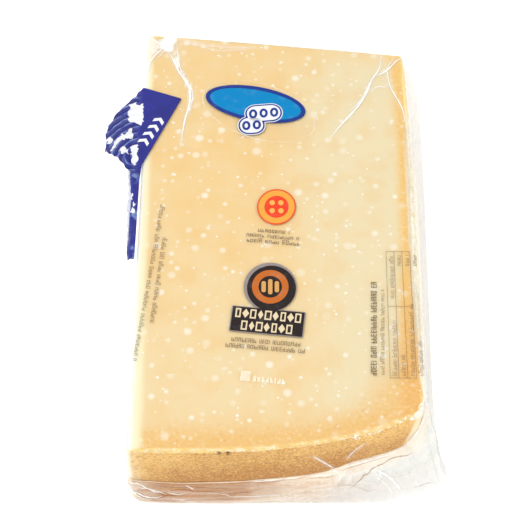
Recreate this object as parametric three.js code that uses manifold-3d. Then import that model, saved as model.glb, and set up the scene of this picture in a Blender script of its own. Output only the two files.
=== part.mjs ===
// A wedge of hard cheese, cut from the upper half of a tall wheel and sealed in a clear film bag.
// The wedge lies on one of its two cut faces, with the wheel's axis along X at the back.
// The thin tip of the wedge is at the back (+Y) and the curved rind of the wheel is at the front (-Y).
// The left end is the cut through the wheel's middle, and the right end is the wheel's flat rind.
// Millimetres, +Z up. The origin is in the middle of the pack's box, on the surface it lies on.

import * as THREE from 'three';
import { mergeVertices } from 'three/addons/utils/BufferGeometryUtils.js';
import Module from 'manifold-3d';

// The wedge of cheese
const WHEEL_RADIUS = 209.7;
const WEDGE_ANGLE = THREE.MathUtils.degToRad(22.64);
const TIP_WIDTH = 112.6;
const TIP_THICKNESS = 4.2;
const TIP_SKEW = 10.8;
const LEFT_FLARE = 0.3;
const RIGHT_FLARE = 0.8;
const EDGE_BULGE = 3;
const EDGE_BULGE_REACH = 30;
const RIND_RECESS = 18.4;
const RIND_RECESS_POWER = 3.25;
const RIND_CORNER = 5;
const RIND_CORNER_POWER = 120;
const RIND_LEAN = 2.7;

// The bag
const FILM_CLEARANCE = 0.5;
const CORNER_RADIUS = 1.6;
const WEB_THICKNESS = 1.2;
const WEB_OVERLAP = 4;
const PACK_HALF_WIDTH = 77;
const FRONT_EDGE = -207.5;
const BACK_EDGE = 0.5;
const CREASE_HEIGHT_SHARE = 0.34;
const SKIRT_LEFT = -52;
const SKIRT_RIGHT = 70;
const SKIRT_FADE = 16;
const CORNER_PULL = 6;
const FIN_START = 13;
const FIN_END = 194;
const FIN_FADE = 26;
const FIN_WIDTH = 6.5;
const FIN_FRONT_WIDTH = 11;

// The label and the opening tab
const GAP = 0.3;
const LABEL_LENGTH = 52.4;
const LABEL_WIDTH = 29.8;
const LABEL_TURN = THREE.MathUtils.degToRad(-23.9);
const LABEL_THICKNESS = 0.4;
const LABEL_X = -6.6;
const LABEL_FROM_AXIS = 42.3;
const TAB_THICKNESS = 0.9;
const TAB_LIFT = 0.55;
const TAB_DROP = 0.09;
const TAB_DROP_POWER = 1.6;
const TAB_CRUMPLE = 0.05;
const TAB_CRUMPLES_ALONG = 0.62;
const TAB_CRUMPLES_ACROSS = 0.35;
const TAB_START = 30;
const TAB_END = 120.5;

// How finely the curved surfaces are cut
const ACROSS_STEPS = 16;
const CORNER_STATIONS = [0.965, 0.98, 0.99, 1];
const ALONG_STEPS = 8;
const RIND_STEPS = 9;
const CORNER_STEPS = 3;
const WEB_STEPS = 18;
const TAB_STEPS = 34;
const TAB_ACROSS_STEPS = 6;
const LABEL_STEPS = 48;

const QUARTER_TURN = Math.PI / 2;
const { lerp, clamp, smoothstep } = THREE.MathUtils;
const PACK_MIDDLE = (FRONT_EDGE + BACK_EDGE) / 2;
const MERGE_DISTANCE = 1e-4;

// ---- The shape of the wedge. across runs from 0 at the left end to 1 at the right end. ----

// The rind turns in slowly towards the wheel's flat side, and is worn round at the very corner
function rindRadius(across) {
  const worn = RIND_CORNER * across ** RIND_CORNER_POWER;
  return WHEEL_RADIUS - RIND_RECESS * across ** RIND_RECESS_POWER - worn;
}

const tipRadius = (across) => TIP_SKEW * across;

function leftEnd(radius) {
  return -TIP_WIDTH / 2 - LEFT_FLARE * (radius / WHEEL_RADIUS);
}

function rightEnd(radius) {
  const bulge = EDGE_BULGE * (1 - Math.exp(-radius / EDGE_BULGE_REACH));
  return TIP_WIDTH / 2 + RIGHT_FLARE * (radius / WHEEL_RADIUS) + bulge;
}

// A point of the wedge: radius from the wheel's axis, height share from 0 on the base to 1 on top
function wedgePoint(radius, share, base, lift) {
  const angle = share * WEDGE_ANGLE;
  const lean = RIND_LEAN * (1 - share) * (radius / WHEEL_RADIUS);
  const y = -(radius - lean) * Math.cos(angle);
  const z = lerp(base, lift, share) + radius * Math.sin(angle);
  return new THREE.Vector2(y, z);
}

// The film lies this far above the axis on the sloping face
const filmLift = (inset) => TIP_THICKNESS + (FILM_CLEARANCE - inset) / Math.cos(WEDGE_ANGLE);

function filmOnTop(x, radius, above) {
  const lift = filmLift(0) + above / Math.cos(WEDGE_ANGLE);
  const { x: y, y: z } = wedgePoint(radius, 1, 0, lift);
  return new THREE.Vector3(x, y, z);
}

// ---- Closed bodies from rings of points ----

// Each ring runs anticlockwise when seen along the way that the rings follow each other
function loft(rings) {
  const count = rings[0].length;
  const positions = rings.flat().flatMap((p) => [p.x, p.y, p.z]);
  const faces = [];
  for (let i = 0; i + 1 < rings.length; i += 1) {
    for (let j = 0; j < count; j += 1) {
      const here = i * count + j;
      const next = i * count + ((j + 1) % count);
      faces.push(here, here + count, next);
      faces.push(next, here + count, next + count);
    }
  }
  const last = (rings.length - 1) * count;
  for (let j = 1; j + 1 < count; j += 1) {
    faces.push(0, j, j + 1);
    faces.push(last, last + j + 1, last + j);
  }
  const geometry = new THREE.BufferGeometry();
  geometry.setAttribute('position', new THREE.Float32BufferAttribute(positions, 3));
  geometry.setIndex(faces);
  return geometry;
}

// Corner of a section, from the side that the outline comes along to the side it leaves along
function cornerPoints(radius, inward, share, upward, alongFirst) {
  const thickness = TIP_THICKNESS + radius * Math.sin(WEDGE_ANGLE);
  const points = [];
  for (let k = 0; k <= CORNER_STEPS; k += 1) {
    const angle = (k / CORNER_STEPS) * QUARTER_TURN;
    const near = CORNER_RADIUS * (1 - Math.sin(angle));
    const far = CORNER_RADIUS * (1 - Math.cos(angle));
    const [back, up] = alongFirst ? [near, far] : [far, near];
    points.push([radius + inward * back, share + (upward * up) / thickness]);
  }
  return points;
}

function joinCorners(corners, steps) {
  return corners.flatMap((corner, i) => {
    const from = corner[corner.length - 1];
    const to = corners[(i + 1) % corners.length][0];
    const side = [];
    for (let k = 1; k < steps[i]; k += 1) {
      side.push([lerp(from[0], to[0], k / steps[i]), lerp(from[1], to[1], k / steps[i])]);
    }
    return [...corner, ...side];
  });
}

// One ring of the bag round the wedge, from the tip along the base, up the rind and back on top
function wedgeRing(across, shift, inset) {
  const tip = tipRadius(across) - FILM_CLEARANCE + inset;
  const rind = rindRadius(across) + FILM_CLEARANCE - inset;
  const corners = [
    cornerPoints(rind, -1, 0, 1, true),
    cornerPoints(rind, -1, 1, -1, false),
    cornerPoints(tip, 1, 1, -1, true),
    cornerPoints(tip, 1, 0, 1, false),
  ];
  const outline = joinCorners(corners, [RIND_STEPS, ALONG_STEPS, 1, ALONG_STEPS]);
  return outline.map(([radius, share]) => {
    const flat = wedgePoint(radius, share, inset, filmLift(inset));
    const x = lerp(leftEnd(radius), rightEnd(radius), across) + shift;
    return new THREE.Vector3(x, flat.x, flat.y);
  });
}

function wedgeBody() {
  const rings = [];
  for (let k = 0; k < CORNER_STEPS; k += 1) {
    const angle = (k / CORNER_STEPS) * QUARTER_TURN;
    const inset = CORNER_RADIUS * (1 - Math.sin(angle));
    rings.push(wedgeRing(0, CORNER_RADIUS * (1 - Math.cos(angle)) - FILM_CLEARANCE, inset));
  }
  const even = Array.from({ length: ACROSS_STEPS }, (_, i) => i / ACROSS_STEPS);
  for (const across of [...even, ...CORNER_STATIONS]) {
    const shift = lerp(1, -1, across) * (CORNER_RADIUS - FILM_CLEARANCE);
    rings.push(wedgeRing(across, shift, 0));
  }
  for (let k = CORNER_STEPS - 1; k >= 0; k -= 1) {
    const angle = (k / CORNER_STEPS) * QUARTER_TURN;
    const inset = CORNER_RADIUS * (1 - Math.sin(angle));
    rings.push(wedgeRing(1, FILM_CLEARANCE - CORNER_RADIUS * (1 - Math.cos(angle)), inset));
  }
  return loft(rings);
}

// ---- The film's webs: where the bag stands out from the cheese ----

// A web's profile from its root inside the wedge out to its edge on the surface below
function webRing(root, edge, rootHeight) {
  return [
    new THREE.Vector3(root.x, root.y, 0),
    new THREE.Vector3(root.x, root.y, rootHeight),
    new THREE.Vector3(edge.x, edge.y, WEB_THICKNESS),
    new THREE.Vector3(edge.x, edge.y, 0),
  ];
}

// The skirt in front: the film runs straight from corner to corner, and the rind curves away from it
function frontSkirt() {
  const rings = [];
  for (let i = 0; i <= WEB_STEPS; i += 1) {
    const x = lerp(SKIRT_LEFT, SKIRT_RIGHT, i / WEB_STEPS);
    const across = clamp((x - leftEnd(WHEEL_RADIUS)) / TIP_WIDTH, 0, 1);
    const rind = rindRadius(across) - RIND_LEAN;
    const wall = rind * Math.sin(WEDGE_ANGLE);
    const fade = smoothstep(x, SKIRT_RIGHT - SKIRT_FADE, SKIRT_RIGHT);
    const height = lerp(wall * CREASE_HEIGHT_SHARE, WEB_THICKNESS, fade);
    const root = new THREE.Vector2(x, -rind + WEB_OVERLAP);
    const edge = new THREE.Vector2(x, FRONT_EDGE + CORNER_PULL * fade);
    rings.push(webRing(root, edge, height).reverse());
  }
  return loft(rings);
}

// The fin on the right, which widens from the tip to the front corner
function rightFin() {
  const rings = [];
  for (let i = 0; i <= WEB_STEPS; i += 1) {
    const radius = lerp(FIN_START, FIN_END, i / WEB_STEPS);
    const wall = TIP_THICKNESS + radius * Math.tan(WEDGE_ANGLE);
    const fade = smoothstep(radius, FIN_END - FIN_FADE, FIN_END);
    const height = lerp(wall * CREASE_HEIGHT_SHARE, WEB_THICKNESS, fade);
    const widening = FIN_FRONT_WIDTH - FIN_WIDTH;
    const stand = FIN_WIDTH * smoothstep(radius, 0, FIN_START * 3)
      + widening * smoothstep(radius, FIN_END / 2, FIN_END);
    const root = new THREE.Vector2(rightEnd(radius) - WEB_OVERLAP, -radius);
    const edge = new THREE.Vector2(rightEnd(radius) + stand, -radius);
    rings.push(webRing(root, edge, height));
  }
  return loft(rings);
}

// A flat flap of film lying on the surface, drawn by its outline
function flap(outline) {
  const shape = new THREE.Shape(outline.map(([x, y]) => new THREE.Vector2(x, y)));
  return new THREE.ExtrudeGeometry(shape, { depth: WEB_THICKNESS, bevelEnabled: false });
}

const RIGHT_CORNER = [
  [40, -206],
  [57, -205.5],
  [68, -202],
  [PACK_HALF_WIDTH, -198],
  [74.5, -192],
  [72.5, -182],
  [70, -170],
  [50, -160],
];

const LEFT_CORNER = [
  [-45, -204.5],
  [-52, -206.5],
  [-60, -205],
  [-67, -201.5],
  [-74, -202],
  [-76, -192],
  [-PACK_HALF_WIDTH, -181],
  [-73.5, -166],
  [-68, -160],
  [-61, -150],
  [-50, -145],
];

// ---- Joining ----

const wasm = await Module();
wasm.setup();

function toSolid(geometry) {
  const bare = geometry.clone();
  bare.deleteAttribute('normal');
  bare.deleteAttribute('uv');
  const merged = mergeVertices(bare, MERGE_DISTANCE);
  const mesh = new wasm.Mesh({
    numProp: 3,
    vertProperties: new Float32Array(merged.attributes.position.array),
    triVerts: new Uint32Array(merged.index.array),
  });
  return new wasm.Manifold(mesh);
}

function toGeometry(solid) {
  const { vertProperties, triVerts } = solid.getMesh();
  const geometry = new THREE.BufferGeometry();
  geometry.setAttribute('position', new THREE.BufferAttribute(vertProperties, 3));
  geometry.setIndex(new THREE.BufferAttribute(triVerts, 1));
  geometry.computeVertexNormals();
  return geometry;
}

function bagGeometry() {
  const webs = [frontSkirt(), rightFin(), flap(RIGHT_CORNER), flap(LEFT_CORNER)];
  const solid = webs.reduce((body, web) => body.add(toSolid(web)), toSolid(wedgeBody()));
  return toGeometry(solid);
}

// ---- The label: a clear oval sticker on the sloping face ----

function labelGeometry() {
  const shape = new THREE.Shape();
  shape.absellipse(0, 0, LABEL_LENGTH / 2, LABEL_WIDTH / 2, 0, 2 * Math.PI);
  const geometry = new THREE.ExtrudeGeometry(shape, {
    depth: LABEL_THICKNESS,
    bevelEnabled: false,
    curveSegments: LABEL_STEPS,
  });
  geometry.rotateZ(LABEL_TURN);
  geometry.rotateX(-WEDGE_ANGLE);
  const place = filmOnTop(LABEL_X, LABEL_FROM_AXIS, GAP);
  geometry.translate(place.x, place.y, place.z);
  return geometry;
}

// ---- The opening tab: a printed strip that lies on the film and hangs over the left edge ----

// Each profile is a line through a few (distance from the axis, x) points
function profile(points) {
  return (radius) => {
    const i = points.findIndex(([r]) => r >= radius);
    if (i < 0) return points[points.length - 1][1];
    if (i === 0) return points[0][1];
    const [r0, x0] = points[i - 1];
    const [r1, x1] = points[i];
    return lerp(x0, x1, (radius - r0) / (r1 - r0));
  };
}

const tabOuter = profile([
  [TAB_START, -57.6], [35, -60.3], [39, -65.4], [44.5, -69.2], [47, -72.4], [52, -73.6],
  [61, -73.4], [64.5, -69.8], [71, -65.2], [75.5, -61.8], [TAB_END, -60.6],
]);

const tabInner = profile([
  [TAB_START, -56.8], [35.7, -40.6], [72, -56.3], [80, -57.6], [TAB_END, -58],
]);

// The hanging part of the tab drops below the face and is crumpled along its length
function tabPoint(radius, x, above) {
  const edge = leftEnd(radius) - FILM_CLEARANCE;
  const outside = Math.max(0, edge - x);
  const drop = TAB_DROP * outside ** TAB_DROP_POWER;
  const wave = Math.sin(radius * TAB_CRUMPLES_ALONG + outside * TAB_CRUMPLES_ACROSS);
  const crumple = TAB_CRUMPLE * outside * wave;
  return filmOnTop(x, radius, TAB_LIFT + above - drop + crumple);
}

function tabGeometry() {
  const rings = [];
  for (let i = 0; i <= TAB_STEPS; i += 1) {
    const radius = lerp(TAB_START, TAB_END, i / TAB_STEPS);
    const ring = [];
    for (let j = 0; j <= TAB_ACROSS_STEPS; j += 1) {
      const x = lerp(tabOuter(radius), tabInner(radius), j / TAB_ACROSS_STEPS);
      ring.push(tabPoint(radius, x, TAB_THICKNESS));
    }
    for (let j = TAB_ACROSS_STEPS; j >= 0; j -= 1) {
      const x = lerp(tabOuter(radius), tabInner(radius), j / TAB_ACROSS_STEPS);
      ring.push(tabPoint(radius, x, 0));
    }
    rings.push(ring);
  }
  return loft(rings);
}

// ---- The object ----

function part(name, geometry, settings) {
  geometry.computeVertexNormals();
  const mesh = new THREE.Mesh(geometry, new THREE.MeshStandardMaterial(settings));
  mesh.name = name;
  mesh.position.set(0, -PACK_MIDDLE, 0);
  return mesh;
}

const object = new THREE.Group();
object.add(part('bag', bagGeometry(), { color: 0xf1dba6, roughness: 0.35, metalness: 0 }));
object.add(part('label', labelGeometry(), { color: 0xf6f4ee, roughness: 0.2, metalness: 0 }));
object.add(part('opening_tab', tabGeometry(), { color: 0x2d3c96, roughness: 0.3, metalness: 0 }));

export default object;
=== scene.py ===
"""A wedge of hard cheese in a tight clear bag, with its folds, a sticker and an opening tab.

The wedge lies on one cut face. Its thin tip is at the back (+Y) and the wheel's rind is in front (-Y).
Lengths are in millimetres, measured from the wheel's axis, until a piece becomes a mesh.
A place on the wedge is given as across, from 0 at the left end to 1 at the right end, as a radius from
the wheel's axis, and as a share of the height, from 0 on the base to 1 on the sloping cut face.
"""

import math

import bmesh
import bpy
import numpy as np
from mathutils import Matrix, Vector, noise


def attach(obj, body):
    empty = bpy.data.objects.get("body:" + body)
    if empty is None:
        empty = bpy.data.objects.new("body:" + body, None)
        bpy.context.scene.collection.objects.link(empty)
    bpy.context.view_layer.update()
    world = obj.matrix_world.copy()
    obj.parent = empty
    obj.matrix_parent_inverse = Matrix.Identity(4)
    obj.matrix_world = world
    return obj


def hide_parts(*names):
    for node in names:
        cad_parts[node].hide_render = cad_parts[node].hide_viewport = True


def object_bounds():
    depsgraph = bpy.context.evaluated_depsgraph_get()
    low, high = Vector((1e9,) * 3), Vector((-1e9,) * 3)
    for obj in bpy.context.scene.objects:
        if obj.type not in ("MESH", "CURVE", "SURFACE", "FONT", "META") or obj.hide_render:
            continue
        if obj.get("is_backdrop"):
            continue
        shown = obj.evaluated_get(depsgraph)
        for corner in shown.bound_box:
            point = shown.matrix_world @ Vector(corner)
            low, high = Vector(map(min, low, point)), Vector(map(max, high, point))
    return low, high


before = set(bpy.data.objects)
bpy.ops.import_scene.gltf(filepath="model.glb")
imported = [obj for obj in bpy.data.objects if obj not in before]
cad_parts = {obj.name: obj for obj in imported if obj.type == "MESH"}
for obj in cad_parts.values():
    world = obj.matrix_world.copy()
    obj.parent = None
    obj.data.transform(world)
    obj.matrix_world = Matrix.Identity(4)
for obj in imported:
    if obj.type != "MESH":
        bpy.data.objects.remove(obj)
cad_low, cad_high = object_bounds()

MM = 0.001

# ---- The wedge ----

WHEEL_RADIUS = 209.7
WEDGE_ANGLE = math.radians(22.64)
TIP_WIDTH = 112.6
TIP_THICKNESS = 4.2
TIP_SKEW = 10.8
TIP_SKEW_POWER = 1.15
TIP_REACH = 1.0
LEFT_FLARE = 0.3
RIGHT_FLARE = 0.8
EDGE_BULGE = 3
EDGE_BULGE_REACH = 30
RIND_RECESS = 18.4
RIND_RECESS_POWER = 3.25
RIND_CORNER = 5
RIND_CORNER_POWER = 120
RIND_LEAN = 2.7
LEFT_LEAN = 2.2
FILM_CLEARANCE = 0.5
CHEESE_EDGE = 1.2
FILM_EDGE = 1.6
BASE_EDGE_GAIN = 1.4
TIP_EDGE_SHARE = 0.26

# The wheel's axis lies just in front of the pack's back edge
AXIS_Y = cad_high.y - FILM_CLEARANCE * MM

# ---- The film and what lies on it ----

FILM_GROW = 0.36
PRINT_LIFT = 0.62
PRINT_THICKNESS = 0.05
PRINT_STEP = 0.06
STICKER_LIFT = 0.6
STICKER_THICKNESS = 0.12
STICKER_LENGTH = 52.4
STICKER_WIDTH = 29.8
STICKER_RIM = 0.45
STICKER_TURN = math.radians(-23.9)
STICKER_X = -6.6
STICKER_RADIUS = 42.3


def rind_radius(across):
    """The rind turns in slowly towards the wheel's flat side, and is worn round at the very corner."""
    across = np.clip(across, 0, 1)
    worn = RIND_CORNER * across**RIND_CORNER_POWER
    return WHEEL_RADIUS - RIND_RECESS * across**RIND_RECESS_POWER - worn


def tip_radius(across):
    return TIP_SKEW * np.clip(across, 0, 1) ** TIP_SKEW_POWER - TIP_REACH


def left_end(radius):
    return -TIP_WIDTH / 2 - LEFT_FLARE * radius / WHEEL_RADIUS


def right_end(radius):
    bulge = EDGE_BULGE * (1 - np.exp(-np.maximum(radius, 0) / EDGE_BULGE_REACH))
    return TIP_WIDTH / 2 + RIGHT_FLARE * radius / WHEEL_RADIUS + bulge


def wedge_points(across, radius, share, grow=0.0):
    """Places on or round the wedge, which is grown on every side by grow."""
    angle = share * WEDGE_ANGLE
    lean = RIND_LEAN * (1 - share) * radius / WHEEL_RADIUS
    base = FILM_CLEARANCE - grow
    lift = TIP_THICKNESS + grow / math.cos(WEDGE_ANGLE)
    left, right = left_end(radius) - grow, right_end(radius) + grow
    left = left - LEFT_LEAN * (1 - share) * (np.maximum(radius, 0) / WHEEL_RADIUS) ** 6
    x = left + (right - left) * across
    y = -(radius - lean) * np.cos(angle)
    z = base + (lift - base) * share + radius * np.sin(angle)
    return np.stack(np.broadcast_arrays(x, y, z), -1)


def on_slope(x, radius, lift):
    """Places above the sloping cut face."""
    y = -radius * math.cos(WEDGE_ANGLE) + lift * math.sin(WEDGE_ANGLE)
    z = TIP_THICKNESS + radius * math.sin(WEDGE_ANGLE) + lift * math.cos(WEDGE_ANGLE)
    return np.stack(np.broadcast_arrays(x, y, z), -1)


# ---- Meshes ----


def to_row(points):
    """Millimetres from the wheel's axis to metres in the part's frame."""
    return np.asarray(points, float).reshape(-1, 3) * MM + np.array([0, AXIS_Y, 0])


def add_object(name, mesh):
    piece = bpy.data.objects.new(name, mesh)
    bpy.context.scene.collection.objects.link(piece)
    return piece


def new_mesh(name, points, faces, smooth=True):
    """An object from points in millimetres and faces of any size."""
    mesh = bpy.data.meshes.new(name)
    mesh.from_pydata(to_row(points).tolist(), [], [list(map(int, f)) for f in faces])
    mesh.update()
    if smooth:
        mesh.shade_smooth()
    return add_object(name, mesh)


def sheet_quads(rows, columns):
    """The faces between rows + 1 lines of columns + 1 points each."""
    wide = columns + 1
    return [(i * wide + j, (i + 1) * wide + j, (i + 1) * wide + j + 1, i * wide + j + 1)
            for i in range(rows) for j in range(columns)]


def set_values(piece, name, values):
    """One number for each vertex."""
    attribute = piece.data.attributes.new(name, "FLOAT", "POINT")
    attribute.data.foreach_set("value", np.asarray(values, np.float32).ravel())


def get_points(piece):
    """The vertices, in millimetres from the wheel's axis."""
    flat = np.zeros(len(piece.data.vertices) * 3)
    piece.data.vertices.foreach_get("co", flat)
    return (flat.reshape(-1, 3) - np.array([0, AXIS_Y, 0])) / MM


def get_normals(piece):
    flat = np.zeros(len(piece.data.vertices) * 3)
    piece.data.vertex_normals.foreach_get("vector", flat)
    return flat.reshape(-1, 3)


def get_values(piece, name):
    flat = np.zeros(len(piece.data.vertices))
    piece.data.attributes[name].data.foreach_get("value", flat)
    return flat


def move_points(piece, points):
    piece.data.vertices.foreach_set("co", to_row(points).ravel())
    piece.data.update()


def bake_modifiers(piece):
    """Turns the evaluated object into a plain mesh."""
    graph = bpy.context.evaluated_depsgraph_get()
    mesh = bpy.data.meshes.new_from_object(piece.evaluated_get(graph))
    piece.modifiers.clear()
    piece.data = mesh
    return piece


def thicken(piece, thickness):
    solid = piece.modifiers.new("wall", "SOLIDIFY")
    solid.thickness = thickness * MM
    solid.offset = 0
    return bake_modifiers(piece)


def wavy(points, size, seed, octaves=1):
    """Smooth noise from -1 to 1 at each point, with bumps about size millimetres apart."""
    shift = Vector((seed * 17.3, seed * 5.1, seed * 9.7))
    found = np.zeros(len(points))
    weight = 1.0
    for octave in range(octaves):
        scale = 2**octave / size
        found += weight * np.array([noise.noise(Vector(p) * scale + shift) for p in points])
        weight /= 2
    return found


def waves(points, wave):
    """Smooth noise from a table: how high it is, and then what wavy() takes."""
    high, *rest = wave
    return high * wavy(points, *rest)


def smooth_between(value, start, end):
    share = np.clip((value - start) / (end - start), 0, 1)
    return share * share * (3 - 2 * share)


def from_line(points, start, end):
    """Distance from each point to the stretch between start and end."""
    way = end - start
    share = np.clip((points - start) @ way / max(way @ way, 1e-9), 0, 1)
    return np.linalg.norm(points - start - share[:, None] * way, axis=1)


def inside(points, outline, soft):
    """1 in an outline and 0 outside it, with an edge that is soft millimetres wide."""
    outline = np.asarray(outline, float)
    crossed = np.zeros(len(points), bool)
    gap = np.full(len(points), np.inf)
    for start, end in zip(outline, np.roll(outline, -1, axis=0)):
        gap = np.minimum(gap, from_line(points, start, end))
        spans = (points[:, 1] < start[1]) != (points[:, 1] < end[1])
        if end[1] != start[1]:
            at = start[0] + (points[:, 1] - start[1]) * (end[0] - start[0]) / (end[1] - start[1])
            crossed ^= spans & (points[:, 0] < at)
    return smooth_between(np.where(crossed, gap, -gap), -soft / 2, soft / 2)


def dress(piece, material, slot, *nodes):
    """Gives a piece its material and its body, and hides the nodes that it stands for. slot is not used.
    """
    piece.data.materials.clear()
    piece.data.materials.append(material)
    if nodes:
        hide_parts(*nodes)
    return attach(piece, "root")


# ---- Shader maths ----


class Socket:
    """A value in a node tree that can be used in sums."""

    def __init__(self, owner, socket):
        self.owner = owner
        self.socket = socket

    def sum(self, operation, *values):
        return self.owner.node("ShaderNodeMath", {"operation": operation}, dict(enumerate(values)))

    def other(self, name):
        """Another output of the same node."""
        return Socket(self.owner, self.socket.node.outputs[name])

    def __add__(self, other):
        return self.sum("ADD", self, other)

    def __sub__(self, other):
        return self.sum("SUBTRACT", self, other)

    def __mul__(self, other):
        return self.sum("MULTIPLY", self, other)

    def __truediv__(self, other):
        return self.sum("DIVIDE", self, other)

    def __pow__(self, other):
        return self.sum("POWER", self, other)

    def __radd__(self, other):
        return self + other

    def __rmul__(self, other):
        return self * other

    def __rsub__(self, other):
        return self.sum("SUBTRACT", other, self)

    def least(self, other):
        return self.sum("MINIMUM", self, other)

    def most(self, other):
        return self.sum("MAXIMUM", self, other)

    def rise(self, start, end):
        """0 below start and 1 above end, with a smooth step between."""
        settings = {"interpolation_type": "SMOOTHSTEP"}
        values = {"Value": self, "From Min": start, "From Max": end}
        return self.owner.node("ShaderNodeMapRange", settings, values)

    def fall(self, start, end):
        """1 below start and 0 above end, with a smooth step between."""
        return 1 - self.rise(start, end)


class Nodes:
    """A node tree of any kind."""

    def __init__(self, tree):
        self.tree = tree
        tree.nodes.clear()

    def node(self, kind, settings=None, values=None, out=0):
        """A node of any kind: its settings first, then its sockets' values or links."""
        made = self.tree.nodes.new(kind)
        for key, value in (settings or {}).items():
            setattr(made, key, value)
        for key, value in (values or {}).items():
            if isinstance(value, Socket):
                self.tree.links.new(value.socket, made.inputs[key])
            else:
                made.inputs[key].default_value = value
        return Socket(self, made.outputs[out]) if made.outputs else None


class Finish(Nodes):
    """A material built up from nodes."""

    def __init__(self, name):
        self.material = bpy.data.materials.new(name)
        self.material.use_nodes = True
        super().__init__(self.material.node_tree)

    def place(self):
        """The piece's own coordinates, in metres."""
        return self.node("ShaderNodeTexCoord", out="Object")

    def value(self, name):
        """A number stored on the vertices."""
        return self.node("ShaderNodeAttribute", {"attribute_name": name}, out="Fac")

    def split(self, vector):
        """The three parts of a vector or a colour."""
        parts = self.node("ShaderNodeSeparateXYZ", None, {0: vector})
        return [parts.other(k) for k in range(3)]

    def stretched(self, place, x, y, z):
        """Coordinates multiplied by x, y and z."""
        settings = {"operation": "MULTIPLY"}
        return self.node("ShaderNodeVectorMath", settings, {0: place, 1: (x, y, z)})

    def cloud(self, place, size, detail=2.0, roughness=0.5):
        """Noise from 0 to 1 with features about size metres apart."""
        values = {"Vector": place, "Scale": 1 / size, "Detail": detail, "Roughness": roughness}
        return self.node("ShaderNodeTexNoise", {"noise_dimensions": "3D"}, values)

    def cells(self, place, size, out="Distance"):
        """Distance to, or random colour of, the nearest of points about size metres apart."""
        values = {"Vector": place, "Scale": 1 / size, "Randomness": 1.0}
        return self.node("ShaderNodeTexVoronoi", {"feature": "F1"}, values, out=out)

    def blend(self, share, first, second):
        """From the first colour to the second as share goes from 0 to 1."""
        settings = {"data_type": "RGBA", "clamp_factor": True}
        return self.node("ShaderNodeMix", settings, {0: share, 6: first, 7: second}, out=2)

    def coats(self, skin, *coats):
        """A colour with others laid over it in turn, each as (share, colour)."""
        for share, coat in coats:
            skin = self.blend(share, skin, coat)
        return skin

    def bump(self, height, distance, strength=1.0):
        values = {"Height": height, "Distance": distance, "Strength": strength}
        return self.node("ShaderNodeBump", None, values)

    def mirror(self):
        """How much a clear film reflects: little when seen square on, and more at a slant."""
        slant = self.node("ShaderNodeLayerWeight", None, {"Blend": 0.5}, out="Facing")
        return slant**5 * 0.96 + 0.04

    def surface(self, **values):
        """A Principled shader. Underscores in the names stand for spaces."""
        named = {key.replace("_", " "): value for key, value in values.items()}
        return self.node("ShaderNodeBsdfPrincipled", None, named)

    def clear(self, cover, shader):
        """A see-through surface that shows shader where cover is 1."""
        through = self.node("ShaderNodeBsdfTransparent")
        return self.node("ShaderNodeMixShader", None, {0: cover, 1: through, 2: shader})

    def done(self, shader):
        self.node("ShaderNodeOutputMaterial", None, {"Surface": shader})
        return self.material


class Growth(Nodes):
    """A Geometry Nodes tree with named inputs, which ends in a plain mesh with a material."""

    def __init__(self, name, **kinds):
        super().__init__(bpy.data.node_groups.new(name, "GeometryNodeTree"))
        face = self.tree.interface
        kinds = {"Geometry": "Geometry", "Finish": "Material", **kinds}
        self.keys = {
            key: face.new_socket(key, in_out="INPUT", socket_type="NodeSocket" + kind).identifier
            for key, kind in kinds.items()
        }
        face.new_socket("Geometry", in_out="OUTPUT", socket_type="NodeSocketGeometry")
        self.given = {key: self.node("NodeGroupInput", out=key) for key in kinds}

    def stored(self, name):
        """A number stored on the vertices."""
        settings = {"data_type": "FLOAT"}
        return self.node("GeometryNodeInputNamedAttribute", settings, {"Name": name}, "Attribute")

    def grow(self, piece, mesh, **values):
        """Ends the tree with a mesh, runs it on the piece with these inputs and keeps the outcome."""
        mesh = self.node("GeometryNodeRealizeInstances", None, {"Geometry": mesh})
        mesh = self.node("GeometryNodeSetShadeSmooth", None, {"Geometry": mesh})
        painted = {"Geometry": mesh, "Material": self.given["Finish"]}
        mesh = self.node("GeometryNodeSetMaterial", None, painted)
        self.node("NodeGroupOutput", None, {"Geometry": mesh})
        modifier = piece.modifiers.new(self.tree.name, "NODES")
        modifier.node_group = self.tree
        for key, value in values.items():
            modifier[self.keys[key]] = value
        return bake_modifiers(piece)


def colour(red, green, blue, light=1.0):
    """A linear colour from screen values of 0 to 255, as they look in a light of that strength."""
    parts = [c / 255 for c in (red, green, blue)]
    linear = [c / 12.92 if c <= 0.04045 else ((c + 0.055) / 1.055) ** 2.4 for c in parts]
    return (*[min(c / light, 1.0) for c in linear], 1.0)


# ---- Colours, with the light that falls on the slope and on the rind ----

SLOPE_LIGHT = 1.4
RIND_LIGHT = 1.27
EDGE_LIGHT = 1.17
STRAW = colour(247, 213, 152, SLOPE_LIGHT)
PALE_STRAW = colour(243, 226, 184, SLOPE_LIGHT)
AMBER = colour(244, 196, 119, SLOPE_LIGHT)
SIDE_GOLD = colour(249, 201, 112, SLOPE_LIGHT)
SIDE_AMBER = colour(245, 190, 112, SLOPE_LIGHT)
SIDE_CREAM = colour(254, 248, 233, EDGE_LIGHT)
SIDE_YELLOW = colour(253, 226, 158, EDGE_LIGHT)
SIDE_TAN = colour(246, 222, 178, EDGE_LIGHT)
END_CREAM = colour(250, 233, 197, 1.3)
# Painted highlight by the left edge, also the colour of the pale crumbled corner
HIGHLIGHT_AND_CRUMB_CREAM = colour(255, 246, 204, SLOPE_LIGHT)
HIGHLIGHT_AND_CRUMB_WHITE = colour(255, 255, 250, SLOPE_LIGHT)
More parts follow.
